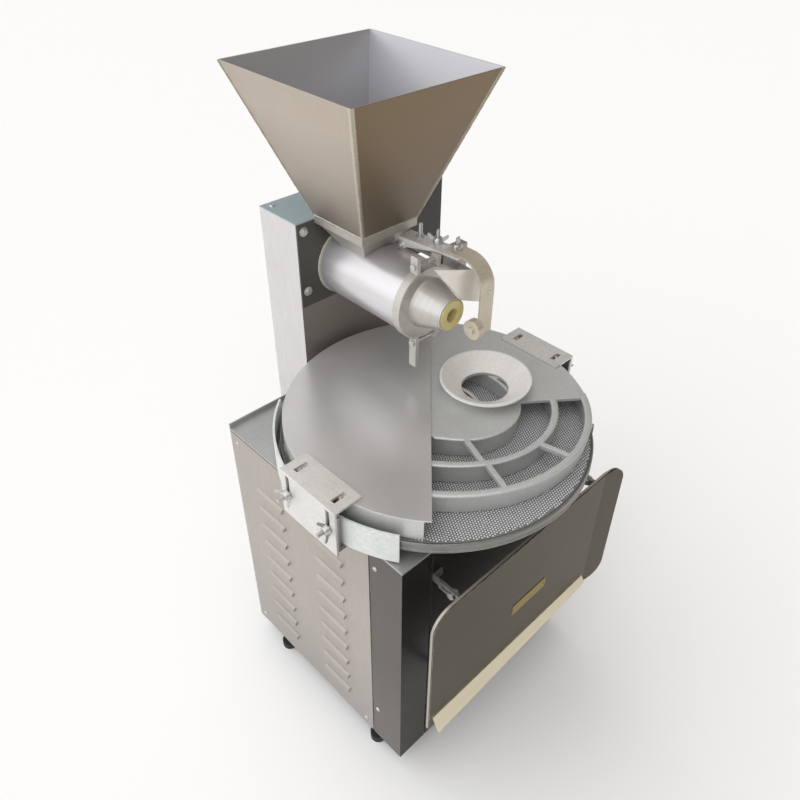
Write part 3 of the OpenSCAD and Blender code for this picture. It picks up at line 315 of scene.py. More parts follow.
blade_steel = finish("ground blade", (0.80, 0.76, 0.69), (0.90, 0.87, 0.81), 0.45, (0.26, 0.4),
                     lines=(60, 900, 700), clouds=16, worn=(0.92, 0.9, 0.86))
guard_steel = finish("guard strip", (0.56, 0.49, 0.385), (0.68, 0.61, 0.505), 0.5, (0.28, 0.42),
                     lines=(60, 900, 700), clouds=16, worn=(0.9, 0.86, 0.78))
bolt_steel = finish("zinc fasteners", (0.50, 0.495, 0.48), (0.68, 0.675, 0.66), 0.85, (0.2, 0.36),
                    lines=(900, 900, 900), clouds=40, worn=(0.9, 0.9, 0.88), edge=0.0005)
bar_steel = finish("slotted bars", (0.30, 0.29, 0.28), (0.44, 0.43, 0.42), 0.75, (0.3, 0.45),
                   lines=(700, 60, 700), clouds=16, worn=(0.75, 0.74, 0.72), edge=0.0006)
drive_iron = finish("drive iron", (0.06, 0.06, 0.062), (0.1, 0.1, 0.1), 0.5, (0.45, 0.65),
                    cast=300, clouds=12, worn=(0.3, 0.3, 0.3), bump=0.3)
print("metal finishes ready")

# %% Finishes for paint, plastic and rubber
frame_paint = finish("frame paint", (0.045, 0.045, 0.05), (0.07, 0.07, 0.075), 0.0, (0.42, 0.55),
                     cast=260, clouds=8, worn=(0.25, 0.25, 0.25), bump=0.1)
plate_paint = finish("dark mounting plate", (0.07, 0.068, 0.06), (0.11, 0.105, 0.095), 0.3, (0.38, 0.55),
                     cast=300, clouds=14, worn=(0.35, 0.34, 0.32), bump=0.12)
box_paint = finish("box paint", (0.03, 0.026, 0.022), (0.05, 0.045, 0.038), 0.1, (0.36, 0.5),
                   cast=420, clouds=10, worn=(0.22, 0.2, 0.18), bump=0.12)
motor_paint = finish("motor paint", (0.05, 0.09, 0.14), (0.08, 0.13, 0.19), 0.0, (0.35, 0.5),
                     cast=260, clouds=12, worn=(0.3, 0.3, 0.3), bump=0.15)
black_rubber = finish("black rubber", (0.012, 0.012, 0.012), (0.03, 0.03, 0.03), 0.0, (0.6, 0.8),
                      cast=500, clouds=30, bump=0.2)
black_plastic = finish("black plastic", (0.012, 0.012, 0.012), (0.022, 0.022, 0.022), 0.0, (0.3, 0.42),
                       cast=600, clouds=30, worn=(0.06, 0.06, 0.06), bump=0.08, edge=0.0005)
# The mat base's dark grey is partly its own colour and partly painted shade in the lanes between the studs.
mat_plastic = finish("mat base", (0.14, 0.14, 0.135), (0.20, 0.20, 0.195), 0.0, (0.45, 0.65),
                     cast=260, clouds=12, bump=0.2)
stud_plastic = finish("mat studs", (0.72, 0.73, 0.755), (0.83, 0.84, 0.865), 0.0, (0.4, 0.55),
                      cast=300, clouds=9, bump=0.05, edge=0.0003)
funnel_plastic = finish("funnel plastic", (0.79, 0.77, 0.735), (0.86, 0.84, 0.81), 0.0, (0.28, 0.4),
                        cast=160, clouds=14, worn=(0.85, 0.84, 0.82), bump=0.03)
band_plastic = finish("band plastic", (0.62, 0.65, 0.63), (0.74, 0.77, 0.75), 0.0, (0.34, 0.48),
                      cast=160, clouds=12, worn=(0.85, 0.86, 0.85), bump=0.03)
insert_plastic = finish("nozzle insert", (0.58, 0.50, 0.20), (0.72, 0.63, 0.30), 0.0, (0.36, 0.5),
                        cast=300, clouds=40, worn=(0.72, 0.64, 0.34), bump=0.06)
green_plastic = finish("start cap", (0.015, 0.20, 0.055), (0.03, 0.27, 0.08), 0.0, (0.22, 0.32),
                       cast=300, clouds=60, bump=0.03, coat=0.3, edge=0.0006)
red_plastic = finish("stop cap", (0.36, 0.016, 0.014), (0.46, 0.028, 0.022), 0.0, (0.22, 0.32),
                     cast=300, clouds=60, bump=0.03, coat=0.3, edge=0.0006)
brass_plate = finish("blank plate", (0.23, 0.165, 0.03), (0.34, 0.25, 0.06), 0.5, (0.34, 0.5),
                     lines=(80, 900, 900), clouds=40, worn=(0.6, 0.53, 0.32), edge=0.0004)
weld_metal = finish("weld metal", (0.42, 0.385, 0.32), (0.62, 0.58, 0.50), 0.65, (0.34, 0.55),
                    cast=420, clouds=60, bump=0.35, edge=0.0004)
print("paint and plastic finishes ready")

# %% [markdown]
# Some sheets need something of their own. The hopper's corners were welded and then ground, which leaves
# pale strips. Its inside is polished by the dough, and a cooler, paler grey is laid on it as a painted
# reflection. Its front sheet is painted browner and darker, and all its sheets are painted darker towards the
# neck: both are painted shade. The fronts of the column and of the post covers are painted dark, which is
# painted shade too. Lamps could throw this shade, but they would change every other surface too, so it is
# laid into the colour. The front plate has a pale lip, a stained line along the fold, and a painted highlight
# along its hem and edges. All of these are put between the finished colour and the shader, so the recipe
# itself stays as it is.

# %% Colours that depend on the place
SOFT_EDGE = 0.0004


def over_colour(material, share, colour):
    """Lays one more colour over a finished material, by a share."""
    tree = material.node_tree
    socket = tree.nodes["Principled BSDF"].inputs["Base Color"]
    tree.links.new(mix(tree, share, socket.links[0].from_socket, (*colour, 1)), socket)


def maths(tree, kind, first, second=0.0):
    return wire(tree, "ShaderNodeMath", {0: first, 1: second}, operation=kind)


def place_parts(tree, origin=(0, 0, 0)):
    """The three coordinates of the point that is shaded, from an origin."""
    spot = wire(tree, "ShaderNodeTexCoord", out="Object")
    away = wire(tree, "ShaderNodeVectorMath", {0: spot, 1: origin}, operation="SUBTRACT")
    return wire(tree, "ShaderNodeSeparateXYZ", {0: away}).node.outputs


def in_front_of(material, y, colour, share):
    """Lays a colour over all that lies in front of a distance along Y."""
    tree = material.node_tree
    over_colour(material, stretch(tree, place_parts(tree)["Y"], y, y - SOFT_EDGE, 0.0, share), colour)


hopper_low, hopper_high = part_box("hopper")
hopper_middle = (hopper_low + hopper_high) / 2
LOWER_HALF = 0.064
SKIN_FROM, SKIN_TO = 0.0008, 0.0014
STRIP_HALF, STRIP_SWAY = 0.0055, 0.003
SHADE_HIGH, SHADE_SHARE = 0.2, 0.65
upper_half = (hopper_high.x - hopper_low.x) / 2
tree = hopper_steel.node_tree
parts = place_parts(tree, (hopper_middle.x, hopper_middle.y, hopper_low.z))
from_x, from_y = maths(tree, "ABSOLUTE", parts["X"]), maths(tree, "ABSOLUTE", parts["Y"])
# Painted shade: the front sheet, which faces away from the light, is laid over with a dark brown.
front_side = maths(tree, "SUBTRACT", maths(tree, "MULTIPLY", parts["Y"], -1.0), from_x)
over_colour(hopper_steel, stretch(tree, front_side, 0.0, 0.0008, 0.0, 0.9), (0.165, 0.107, 0.048))
flare = (upper_half - LOWER_HALF) / (hopper_high.z - hopper_low.z)
outer_half = maths(tree, "ADD", maths(tree, "MULTIPLY", parts["Z"], flare), LOWER_HALF)
inward = maths(tree, "SUBTRACT", outer_half, maths(tree, "MAXIMUM", from_x, from_y))
# Painted reflection: the inside is laid over with a cooler, paler grey.
over_colour(hopper_steel, stretch(tree, inward, SKIN_FROM, SKIN_TO, 0.0, 0.9), (0.50, 0.505, 0.54))
to_corner = maths(tree, "ABSOLUTE", maths(tree, "SUBTRACT", from_x, from_y))
uneven = wire(tree, "ShaderNodeTexNoise", {"Scale": 120.0, "Detail": 3.0})
strip_half = maths(tree, "ADD", maths(tree, "MULTIPLY", uneven, STRIP_SWAY), STRIP_HALF)
ground = maths(tree, "SUBTRACT", strip_half, to_corner)
outside = stretch(tree, inward, SKIN_TO, SKIN_FROM)
strip = maths(tree, "MULTIPLY", stretch(tree, ground, 0.0, 0.002, 0.0, 0.8), outside)
over_colour(hopper_steel, strip, (0.62, 0.56, 0.46))
# Painted shade: all the hopper's sheets darken towards the neck.
over_colour(hopper_steel, stretch(tree, parts["Z"], SHADE_HIGH, 0.0, 0.0, SHADE_SHARE), (0.14, 0.12, 0.10))

COLUMN_SKIN, POST_SKIN = 0.0004, 0.0006
# Painted shade: the fronts of the column and of the post covers, which face away from the light, are laid
# over with a dark colour.
in_front_of(column_steel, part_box("column_shell")[0].y + COLUMN_SKIN, (0.17, 0.145, 0.122), 0.85)
in_front_of(post_steel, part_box("front_post_covers")[0].y + POST_SKIN, (0.02, 0.017, 0.014), 0.95)

# The plate's near-black colour is painted shade, and its pale worn edges, laid on almost fully, are a painted
# highlight.
plate_steel = finish("front plate sheet", (0.058, 0.045, 0.024), (0.082, 0.066, 0.038), 0.6, (0.34, 0.48),
                     lines=(40, 600, 600), clouds=4, worn=(0.66, 0.62, 0.54), worn_share=0.95, edge=0.0014)
plate_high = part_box("front_plate")[1]
PLATE_HEM, PLATE_THICK, LIP_REACH, WING_X = 0.005, 0.002, 0.0008, 0.194
plate_face = plate_high.y - PLATE_HEM - PLATE_THICK
tree = plate_steel.node_tree
parts = place_parts(tree)
out_of_face = stretch(tree, parts["Y"], plate_face - LIP_REACH, plate_face - 2 * LIP_REACH)
left_of_wing = stretch(tree, parts["X"], WING_X + 0.0005, WING_X)
over_colour(plate_steel, maths(tree, "MULTIPLY", out_of_face, left_of_wing), (0.80, 0.73, 0.56))
FOLD_LOW, FOLD_HIGH = 0.286, 0.292
fold = maths(tree, "MULTIPLY", stretch(tree, parts["Z"], FOLD_LOW, FOLD_LOW + 0.001, 0.0, 0.4),
             stretch(tree, parts["Z"], FOLD_HIGH, FOLD_HIGH - 0.001))
over_colour(plate_steel, maths(tree, "MULTIPLY", fold, left_of_wing), (0.33, 0.27, 0.11))
# Painted highlight: the folded hem along the plate's top is laid over with a pale colour.
hem_highlight = stretch(tree, parts["Y"], plate_face + 0.0021, plate_face + 0.0025, 0.0, 0.65)
over_colour(plate_steel, hem_highlight, (0.62, 0.58, 0.50))
print("hopper's middle:", [round(v, 3) for v in hopper_middle], "plate's face:", round(plate_face, 4))

# %% [markdown]
# Each solid now takes its finish. A solid comes with one material slot, so it is enough to put the new
# material into that slot. The list is kept by finish, which shows at a glance what is made of what.

# %% Give every solid its finish
DRESS = {
    panel_steel: "left_panel right_panel back_panel",
    post_steel: "front_post_covers",
    front_shade_steel: "front_panel",
    column_steel: "column_shell",
    lid_steel: "column_lid",
    top_steel: "top_plate",
    cover_steel: "half_cover",
    hopper_steel: "hopper",
    neck_steel: "hopper_neck",
    bright_steel: "hold_brackets cutter_arm",
    barrel_steel: "barrel",
    nozzle_steel: "nozzle disc_spindle auger_shaft auger_flight cutter_shaft",
    cast_alloy: "track_casting",
    clamp_alloy: "left_clamp right_clamp",
    disc_alloy: "disc_plate",
    blade_steel: "cutter_blade",
    guard_steel: "cutter_guard",
    bolt_steel: "feet_studs cover_screws upright_studs clamp_bolts bar_bolts "
                "wing_nut_left_front wing_nut_left_rear wing_nut_right_front wing_nut_right_rear",
    bar_steel: "fixed_bars slide_bars cutter_block uprights",
    drive_iron: "bearing_housing disc_pulley motor_pulley shaft_coupling",
    frame_paint: "base_frame motor_plate",
    plate_paint: "mounting_plate",
    box_paint: "control_box",
    motor_paint: "disc_motor screw_gearmotor cutter_motor",
    black_rubber: "feet_pads drive_belt",
    black_plastic: "cable_gland speed_knob",
    mat_plastic: "disc_mat",
    funnel_plastic: "funnel",
    band_plastic: "side_band",
    insert_plastic: "nozzle_insert",
    green_plastic: "start_button",
    red_plastic: "stop_button",
    plate_steel: "front_plate",
}
for material, names in DRESS.items():
    for name in names.split():
        mesh = solids[name].data
        mesh.materials.clear()
        mesh.materials.append(material)
print("dressed:", sum(len(names.split()) for names in DRESS.values()), "of", len(solids))

# %% [markdown]
# The machine stands on a plain pale floor. Lamps with a size, hung around the object, would leave the far
# floor dark, so the main light is a wide sun from the left, whose shadow is soft. The world is brighter on
# the left than on the right, and dim and warm in front, which gives round steel its shading and leaves the
# front in shade.

# %% Floor, light and world
FLOOR_HALF = 20
floor_mesh = bpy.data.meshes.new("shop_floor")
corners = [(x * FLOOR_HALF, y * FLOOR_HALF, 0) for x, y in ((-1, -1), (1, -1), (1, 1), (-1, 1))]
floor_mesh.from_pydata(corners, [], [(0, 1, 2, 3)])
floor = bpy.data.objects.new("shop_floor", floor_mesh)
scene.collection.objects.link(floor)
pale_floor = finish("pale floor", (0.985, 0.985, 0.98), (0.99, 0.99, 0.985), 0.0, (0.8, 0.95),
                    cast=500, clouds=None, bump=0.0)
floor_mesh.materials.append(pale_floor)

sun = bpy.data.lights.new("window_light", "SUN")
sun.energy = 2.1
sun.angle = math.radians(130)
window = bpy.data.objects.new("window_light", sun)
window.rotation_mode = "QUATERNION"
window.rotation_quaternion = Vector((0.66, -0.22, -0.72)).to_track_quat("-Z", "Y")
scene.collection.objects.link(window)

world = bpy.data.worlds.new("studio")
scene.world = world
world.use_nodes = True
tree = world.node_tree
way = wire(tree, "ShaderNodeTexCoord", out="Generated")
parts = wire(tree, "ShaderNodeSeparateXYZ", {0: way}).node.outputs
side = mix(tree, stretch(tree, parts["X"], -0.8, 0.8), (0.76, 0.77, 0.80, 1), (0.36, 0.34, 0.31, 1))
side = mix(tree, stretch(tree, parts["Y"], -0.1, -0.9, 0.0, 0.8), side, (0.20, 0.17, 0.13, 1))
tree.links.new(side, tree.nodes["Background"].inputs["Color"])
scene.view_settings.view_transform = "Standard"
print("sun:", sun.energy, "floor:", 2 * FLOOR_HALF, "m")

# %% [markdown]
# New pieces are meshes made from lists of points. Most are turned on an axis or cut from a plate, so two
# helpers make those, and a third joins what they make into one object that rides on a body of the machine.

# %% Helpers for pieces
def frame_on(axis):
    """Two directions square to an axis and to each other."""
    axis = Vector(axis).normalized()
    side = axis.orthogonal().normalized()
    return axis, side, axis.cross(side)


def turned(profile, place, axis, around=40):
    """A turned piece: radius and distance along the axis for each ring, from one end to the other."""
    axis, side, other = frame_on(axis)
    points, faces = [], []
    for radius, along in profile:
        for i in range(around):
            angle = 2 * math.pi * i / around
            outward = math.cos(angle) * side + math.sin(angle) * other
            points.append(Vector(place) + axis * along + radius * outward)
    for ring in range(len(profile) - 1):
        for i in range(around):
            j = (i + 1) % around
            first, second = ring * around, (ring + 1) * around
            faces.append((first + i, first + j, second + j, second + i))
    for ring, order in ((0, -1), (len(profile) - 1, 1)):
        if profile[0] != profile[-1]:
            faces.append(tuple(ring * around + i for i in range(around))[::order])
    return points, faces


def plate(outline, place, right, up, thick):
    """A flat plate from an outline, drawn in the directions right and up, and thick towards right x up."""
    right, up = Vector(right).normalized(), Vector(up).normalized()
    out = right.cross(up)
    count = len(outline)
    points = [Vector(place) + right * a + up * b + out * depth for depth in (0, thick) for a, b in outline]
    faces = [tuple(range(count))[::-1], tuple(range(count, 2 * count))]
    faces += [(i, (i + 1) % count, count + (i + 1) % count, count + i) for i in range(count)]
    return points, faces


def join(name, body, material, shapes, soften=0.0, steps=2, sharp=35):
    """One object from several shapes, with softened edges, that rides on a body."""
    points, faces = [], []
    for some_points, some_faces in shapes:
        faces += [tuple(i + len(points) for i in face) for face in some_faces]
        points += some_points
    mesh = bpy.data.meshes.new(name)
    mesh.from_pydata([tuple(p) for p in points], [], faces)
    mesh.validate()
    mesh.materials.append(material)
    mesh.shade_smooth()
    mesh.set_sharp_from_angle(angle=math.radians(sharp))
    made = bpy.data.objects.new(name, mesh)
    scene.collection.objects.link(made)
    if soften:
        bevel = made.modifiers.new("soft edges", "BEVEL")
        bevel.width, bevel.segments, bevel.limit_method = soften, steps, "ANGLE"
        bevel.angle_limit = math.radians(sharp)
    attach(made, body)
    print(name, "on", body, "with", len(mesh.polygons), "faces")
    return made


print("pieces can be turned, cut from plate and joined")

# %% [markdown]
# The disc's mat is covered with small studs that grip the dough. A bump in the material would be cheap, but
# the studs show against the light at the disc's edge, so each stud is a real pyramid with its top cut off.
# They stand in staggered rows, 5 mm apart, and turn with the disc.

# %% Studs of the mat
mat_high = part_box("disc_mat")[1]
STUD_STEP, STUD_FOOT, STUD_TOP, STUD_HEIGHT = 0.005, 0.0019, 0.0010, 0.0010
STUD_SINK, MAT_BORDER, MAT_HOLE_R = 0.0001, 0.003, 0.05
STUD_SIDES = ((0, -1), (1, 0), (0, 1), (-1, 0))
mat_r = mat_high.x - MAT_BORDER
points, faces = [], []
row_step = STUD_STEP * math.sqrt(3) / 2
rows = int(mat_r / row_step)
for row in range(-rows, rows + 1):
    y = row * row_step
    for column in range(-rows, rows + 1):
        x = (column + 0.5 * (row % 2)) * STUD_STEP
        if MAT_HOLE_R < math.hypot(x, y) < mat_r:
            first = len(points)
            for half, z in ((STUD_FOOT, mat_high.z - STUD_SINK), (STUD_TOP, mat_high.z + STUD_HEIGHT)):
                points += [Vector((x + half * a, y + half * b, z)) for a, b in STUD_SIDES]
            faces.append((first + 4, first + 5, first + 6, first + 7))
            for i in range(4):
                j = (i + 1) % 4
                faces.append((first + i, first + j, first + 4 + j, first + 4 + i))
join("mat_studs", "disc", stud_plastic, [(points, faces)], sharp=20)

# %% [markdown]
# A turned rim keeps the mat in place, and a bead runs round the disc's lower edge, which leaves a shallow
# groove between them. Both are rings, so they are turned from a small profile.

# %% Rim and lower bead of the disc
disc_low, disc_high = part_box("disc_plate")
edge_r = disc_high.x
RIM = [(-0.0036, 0), (-0.0036, 0.0020), (-0.0028, 0.0028), (-0.0008, 0.0028), (0, 0.0020),
       (0.0004, 0.0006), (0.0004, -0.0030), (-0.0002, -0.0034), (-0.0036, -0.0002)]
LOWER_BEAD = [(-0.001, 0), (0.0005, 0.0006), (0.0005, 0.0050), (-0.001, 0.0056)]
LOWER_BEAD_RISE = 0.0004
rim, low_bead = ([(edge_r + out, up) for out, up in profile] for profile in (RIM, LOWER_BEAD))
join("disc_rim", "disc", disc_alloy,
     [turned(rim + rim[:1], (0, 0, disc_high.z), (0, 0, 1), 160)])
join("disc_lower_bead", "disc", disc_alloy,
     [turned(low_bead + low_bead[:1], (0, 0, disc_low.z + LOWER_BEAD_RISE), (0, 0, 1), 160)])

# %% [markdown]
# The hopper is four sheets welded at the corners. A weld is a row of small ripples, where each drop froze
# over the one before. It could be a bump on the sheet, but it stands out at the corner against the
# background. Here each bead is a lumpy rod that runs along the corner and is half sunk into it.

# %% Weld beads
def bead(start, end, out, radius, ripple=0.0034, around=8):
    """A lumpy rod from one point to another, half sunk, with its lumps on the side it faces."""
    start, end = Vector(start), Vector(end)
    along = (end - start).normalized()
    out = (Vector(out) - along * Vector(out).dot(along)).normalized()
    side = along.cross(out)
    count = max(2, int((end - start).length / ripple * 3))
    points, faces = [], []
    for i in range(count + 1):
        place = start.lerp(end, i / count)
        wave = 0.14 * math.cos(2 * math.pi * i / 3) + 0.08 * math.sin(i * 0.37) + 0.05 * math.sin(i * 1.31)
        lump = radius * (1 + wave)
        sway = 0.18 * radius * math.sin(i * 0.23)
        for j in range(around):
            angle = 2 * math.pi * j / around
            sideways = 1.5 * lump * math.sin(angle) + sway
            points.append(place + side * sideways + out * lump * math.cos(angle))
    for i in range(count):
        for j in range(around):
            k = (j + 1) % around
            faces.append((i * around + j, i * around + k, (i + 1) * around + k, (i + 1) * around + j))
    faces += [tuple(range(around))[::-1], tuple(count * around + j for j in range(around))]
    return points, faces


CORNER_BEAD_R, SEAT_BEAD_R, SEAT_BEAD_RISE = 0.0012, 0.0014, 0.0006
middle = Vector((hopper_middle.x, hopper_middle.y, 0))
beads = []
for sx in (-1, 1):
    for sy in (-1, 1):
        low = middle + Vector((sx * LOWER_HALF, sy * LOWER_HALF, hopper_low.z))
        high = middle + Vector((sx * upper_half, sy * upper_half, hopper_high.z - 0.001))
        beads.append(bead(low, high, (sx, sy, -0.35), CORNER_BEAD_R))
join("hopper_welds", "machine_base", weld_metal, beads, sharp=70)

seat = []
seat_z = hopper_low.z + SEAT_BEAD_RISE
for (ax, ay), (bx, by) in (((-1, -1), (1, -1)), ((1, -1), (1, 1)), ((1, 1), (-1, 1)), ((-1, 1), (-1, -1))):
    seat.append(bead(middle + Vector((ax * LOWER_HALF, ay * LOWER_HALF, seat_z)),
                     middle + Vector((bx * LOWER_HALF, by * LOWER_HALF, seat_z)),
                     (ax + bx, ay + by, 0.3), SEAT_BEAD_R))
join("hopper_seat_welds", "machine_base", weld_metal, seat, sharp=70)

# %% [markdown]
# The barrel is welded into its mounting plate, so a bead runs right round it there.

# %% Weld round the barrel
barrel_low, barrel_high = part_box("barrel")
barrel_x, barrel_z = (barrel_low.x + barrel_high.x) / 2, (barrel_low.z + barrel_high.z) / 2
barrel_r = (barrel_high.x - barrel_low.x) / 2
BARREL_BEAD_R = 0.0026
ring, turns = [], 40
for i in range(turns):
    a, b = (2 * math.pi * (i + k) / turns for k in (0, 1))
    ring.append(bead((barrel_x + barrel_r * math.cos(a), barrel_high.y, barrel_z + barrel_r * math.sin(a)),
                     (barrel_x + barrel_r * math.cos(b), barrel_high.y, barrel_z + barrel_r * math.sin(b)),
                     (math.cos(a), -1, math.sin(a)), BARREL_BEAD_R))
join("barrel_weld", "machine_base", weld_metal, ring, sharp=70)

# %% [markdown]
# Screw heads are small, but they tell the eye how big the machine is. A head is a low dome with a cross
# pressed into it. The cross could be cut with a boolean, which often leaves poor faces on such small
# pieces. Instead the dome is a round grid of points, and the points inside the cross are pushed down.

# %% Helper for screw heads
def screw_head(place, axis, radius, height, cross=True, rings=9, around=48):
    """A low dome on an axis, with a cross pressed into it."""
    axis, side, other = frame_on(axis)
    arm, reach, deep = radius * 0.17, radius * 0.62, height * 0.6
    points, faces = [Vector(place) + axis * (height - (deep if cross else 0))], []
    for ring in range(1, rings + 1):
        share = ring / rings
        for i in range(around):
            angle = 2 * math.pi * i / around
            a, b = radius * share * math.cos(angle), radius * share * math.sin(angle)
            rise = height * math.sqrt(max(0.0, 1 - share ** 4))
            if cross and share * radius < reach and min(abs(a), abs(b)) < arm:
                rise -= deep
            points.append(Vector(place) + axis * rise + side * a + other * b)
    for i in range(around):
        j = (i + 1) % around
        faces.append((0, 1 + i, 1 + j))
        for ring in range(rings - 1):
            first = 1 + ring * around
            faces.append((first + i, first + around + i, first + around + j, first + j))
    return points, faces


def hexagon(radius):
    angles = [math.radians(60 * i) for i in range(6)]
    return [(radius * math.cos(angle), radius * math.sin(angle)) for angle in angles]


WASHER = [(1.45, 0), (1.45, 0.25), (1.38, 0.32)]


def bolt(place, axis, radius, height):
    """A washer, and on it a six-sided head with a turned crown."""
    axis, side, other = frame_on(axis)
    edge = [(radius * wide, height * up) for wide, up in WASHER]
    washer = turned(edge + [(0.0001, edge[-1][1])], place, axis, 32)
    head = plate(hexagon(radius), Vector(place) + axis * height * 0.3, side, other, height * 0.85)
    crown = turned([(radius * 0.86, 0), (radius * 0.80, height * 0.1), (0.0001, height * 0.1)],
                   Vector(place) + axis * height * 1.14, axis, 32)
    return [washer, head, crown]


print("screw heads are domes with a pressed cross")

# %% [markdown]
# The panels, the post covers and the column's lid are held by screws, and the mounting plate by bolts. The
# solids have plain heads there, which these replace at the same places.

# %% Screws of the cabinet and the column
panel_low, panel_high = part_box("left_panel")
post_low, post_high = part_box("front_post_covers")
mount_low, mount_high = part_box("mounting_plate")
lid_low, lid_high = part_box("column_lid")
INSET, HEAD_R, HEAD_H = 0.020, 0.0048, 0.0026
POST_SCREW_Y, POST_SCREW_RISE = -0.112, 0.098
LID_INSET, MOUNT_RISE = 0.016, 0.032
MOUNT_BOLT_R, MOUNT_BOLT_H = 0.0062, 0.0046
heads = []
for sign in (-1, 1):
    x = sign * post_high.x
    for y in (panel_low.y + INSET, mount_low.y - INSET):
        for z in (panel_low.z + INSET, panel_high.z - INSET):
            heads.append(screw_head((x, y, z), (sign, 0, 0), HEAD_R, HEAD_H))
    for z in (post_low.z + POST_SCREW_RISE, post_high.z - 2 * INSET):
        heads.append(screw_head((x, POST_SCREW_Y, z), (sign, 0, 0), HEAD_R, HEAD_H))
for x in (lid_low.x + LID_INSET, lid_high.x - LID_INSET):
    heads.append(screw_head((x, lid_high.y - LID_INSET, lid_high.z), (0, 0, 1), HEAD_R, HEAD_H))
    for z in (mount_low.z + MOUNT_RISE, mount_high.z - LID_INSET):
        heads += bolt((x, mount_low.y, z), (0, -1, 0), MOUNT_BOLT_R, MOUNT_BOLT_H)
screws = join("cabinet_screws", "machine_base", bolt_steel, heads, sharp=40)
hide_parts("cover_screws")

# %% [markdown]
# Each hold-down bracket is clamped by two wing nuts on studs, so that the track can be raised by hand. A
# wing nut is a turned hub with two ears. The ears are cut from plate and softened, because they are forged
# and have no hard edges.

# %% Wing nuts
EAR = [(4.5, 1.0), (8.5, 1.6), (13, 5.2), (17.4, 9.6), (18.9, 12.6), (18.2, 14.6), (16, 15.0), (12.6, 12.8),
       (8.6, 9.4), (4.5, 8.8)]
HUB = [(4.2, 0), (9.0, 0), (9.0, 1.6), (7.4, 8.4), (6.4, 10), (4.2, 10)]
EAR_THICK = 0.0036


def wing_nut(place, axis, spread):
    """A hub with two ears, along an axis, with the ears spread in the direction given."""
    axis, spread = Vector(axis).normalized(), Vector(spread).normalized()
    hub = [(r * MM, h * MM) for r, h in HUB]
    shapes = [turned(hub + hub[:1], place, axis, 32)]
    for sign in (-1, 1):
        right = spread * sign
        corner = Vector(place) - right.cross(axis) * EAR_THICK / 2
        shapes.append(plate([(r * MM, h * MM) for r, h in EAR], corner, right, axis, EAR_THICK))
    return shapes


LEANS = {"left_front": 58, "left_rear": 24, "right_front": -40, "right_rear": 12}
for label, lean in LEANS.items():
    low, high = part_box("wing_nut_" + label)
    sign = -1 if label.startswith("left") else 1
    seat_x = high.x if sign < 0 else low.x
    seat = (seat_x, (low.y + high.y) / 2, (low.z + high.z) / 2)
    spread = (0, math.cos(math.radians(lean)), math.sin(math.radians(lean)))
    nut = join("wing_nut_" + label + "_forged", "nut_" + label, bolt_steel,
               wing_nut(seat, (sign, 0, 0), spread), 0.0009, 3)
    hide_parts("wing_nut_" + label)

# %% [markdown]
# Small bolts hold the brackets on the track. They sit down in the slots of the brackets' tops.

# %% Bolts in the bracket slots
SLOT_X, SLOT_YS, SLOT_SHIFTS = 0.2715, (-0.054, 0.038), (0.004, -0.003)
SLOT_SINK, SLOT_BOLT_R, SLOT_BOLT_H = 0.0042, 0.0030, 0.0030
bracket_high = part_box("hold_brackets")[1]
cover_low, cover_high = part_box("half_cover")
slot_bolts = []
for sign, top in ((-1, bracket_high.z), (1, bracket_high.z - (cover_high.z - cover_low.z))):
    for y, shift in zip(SLOT_YS, SLOT_SHIFTS):
        place = (sign * SLOT_X + shift, y, top - SLOT_SINK)
        slot_bolts += bolt(place, (0, 0, 1), SLOT_BOLT_R, SLOT_BOLT_H)
join("bracket_bolts", "track", bolt_steel, slot_bolts, 0.0003)

# %% [markdown]
# The cutter's arm is clamped from above by wing nuts on studs. At its rear end a rounded ear hangs down to
# the barrel, with a bolt through it, and a rivet holds the guard's lining.

# %% Fasteners of the cutter
arm_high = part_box("cutter_arm")[1]
guard_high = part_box("cutter_guard")[1]
GUARD_HALF = 0.017
guard_x = guard_high.x - GUARD_HALF
arm_fasteners = []
for x, y, z, tall, spread in ((guard_x, 0.060, guard_high.z, 0.020, (0.8, 0.6, 0)),
                              (0.094, 0.103, arm_high.z, 0.024, (0.5, -0.85, 0)),
                              (0.087, 0.139, arm_high.z, 0.026, None)):
    if spread:
        arm_fasteners += wing_nut((x, y, z), (0, 0, 1), spread)
    else:
        arm_fasteners += bolt((x, y, z), (0, 0, 1), 0.0060, 0.0046)
    stud = [(0.0036, 0), (0.0036, tall - 0.001), (0.0028, tall), (0.0001, tall)]
    arm_fasteners.append(turned(stud, (x, y, z), (0, 0, 1), 24))
LINING_RIVET = (guard_x + 0.005, -0.0128, 0.896)
arm_fasteners.append(screw_head(LINING_RIVET, (0, -1, 0), 0.0042, 0.0018, cross=False))
EAR_PLACE, EAR_R = Vector((0.0612, 0.158, 0.9335)), 0.0085
arm_fasteners += bolt(EAR_PLACE - Vector((0.0026, 0, 0)), (-1, 0, 0), 0.0050, 0.0036)
join("cutter_fasteners", "machine_base", bolt_steel, arm_fasteners, 0.0006)
ear_side = [(EAR_R, -0.003), (EAR_R, 0.002), (EAR_R - 0.0008, 0.0028), (0.0001, 0.0028)]
join("arm_ear", "machine_base", bright_steel,
     [turned(ear_side, EAR_PLACE, (-1, 0, 0), 40)])

# %% [markdown]
# The walls of the track were cast with a rounded cap, wider than the wall below it. Caps under the covers
# wouldn't show, so each cap is a strip that is swept along the open part of its wall, where the wall steps
# out to the next turn.

# %% Caps on the track's walls
WALL_RADII = [0.077, 0.144, 0.211, 0.269]
OPEN_FROM, OPEN_TO = -140, -35
CAP = [(-6.4, -4.5), (-6.6, -2.2), (-5.9, -0.7), (-4.6, -0.06),
       (4.6, -0.06), (5.9, -0.7), (6.6, -2.2), (6.4, -4.5)]
wall_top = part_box("track_casting")[1].z


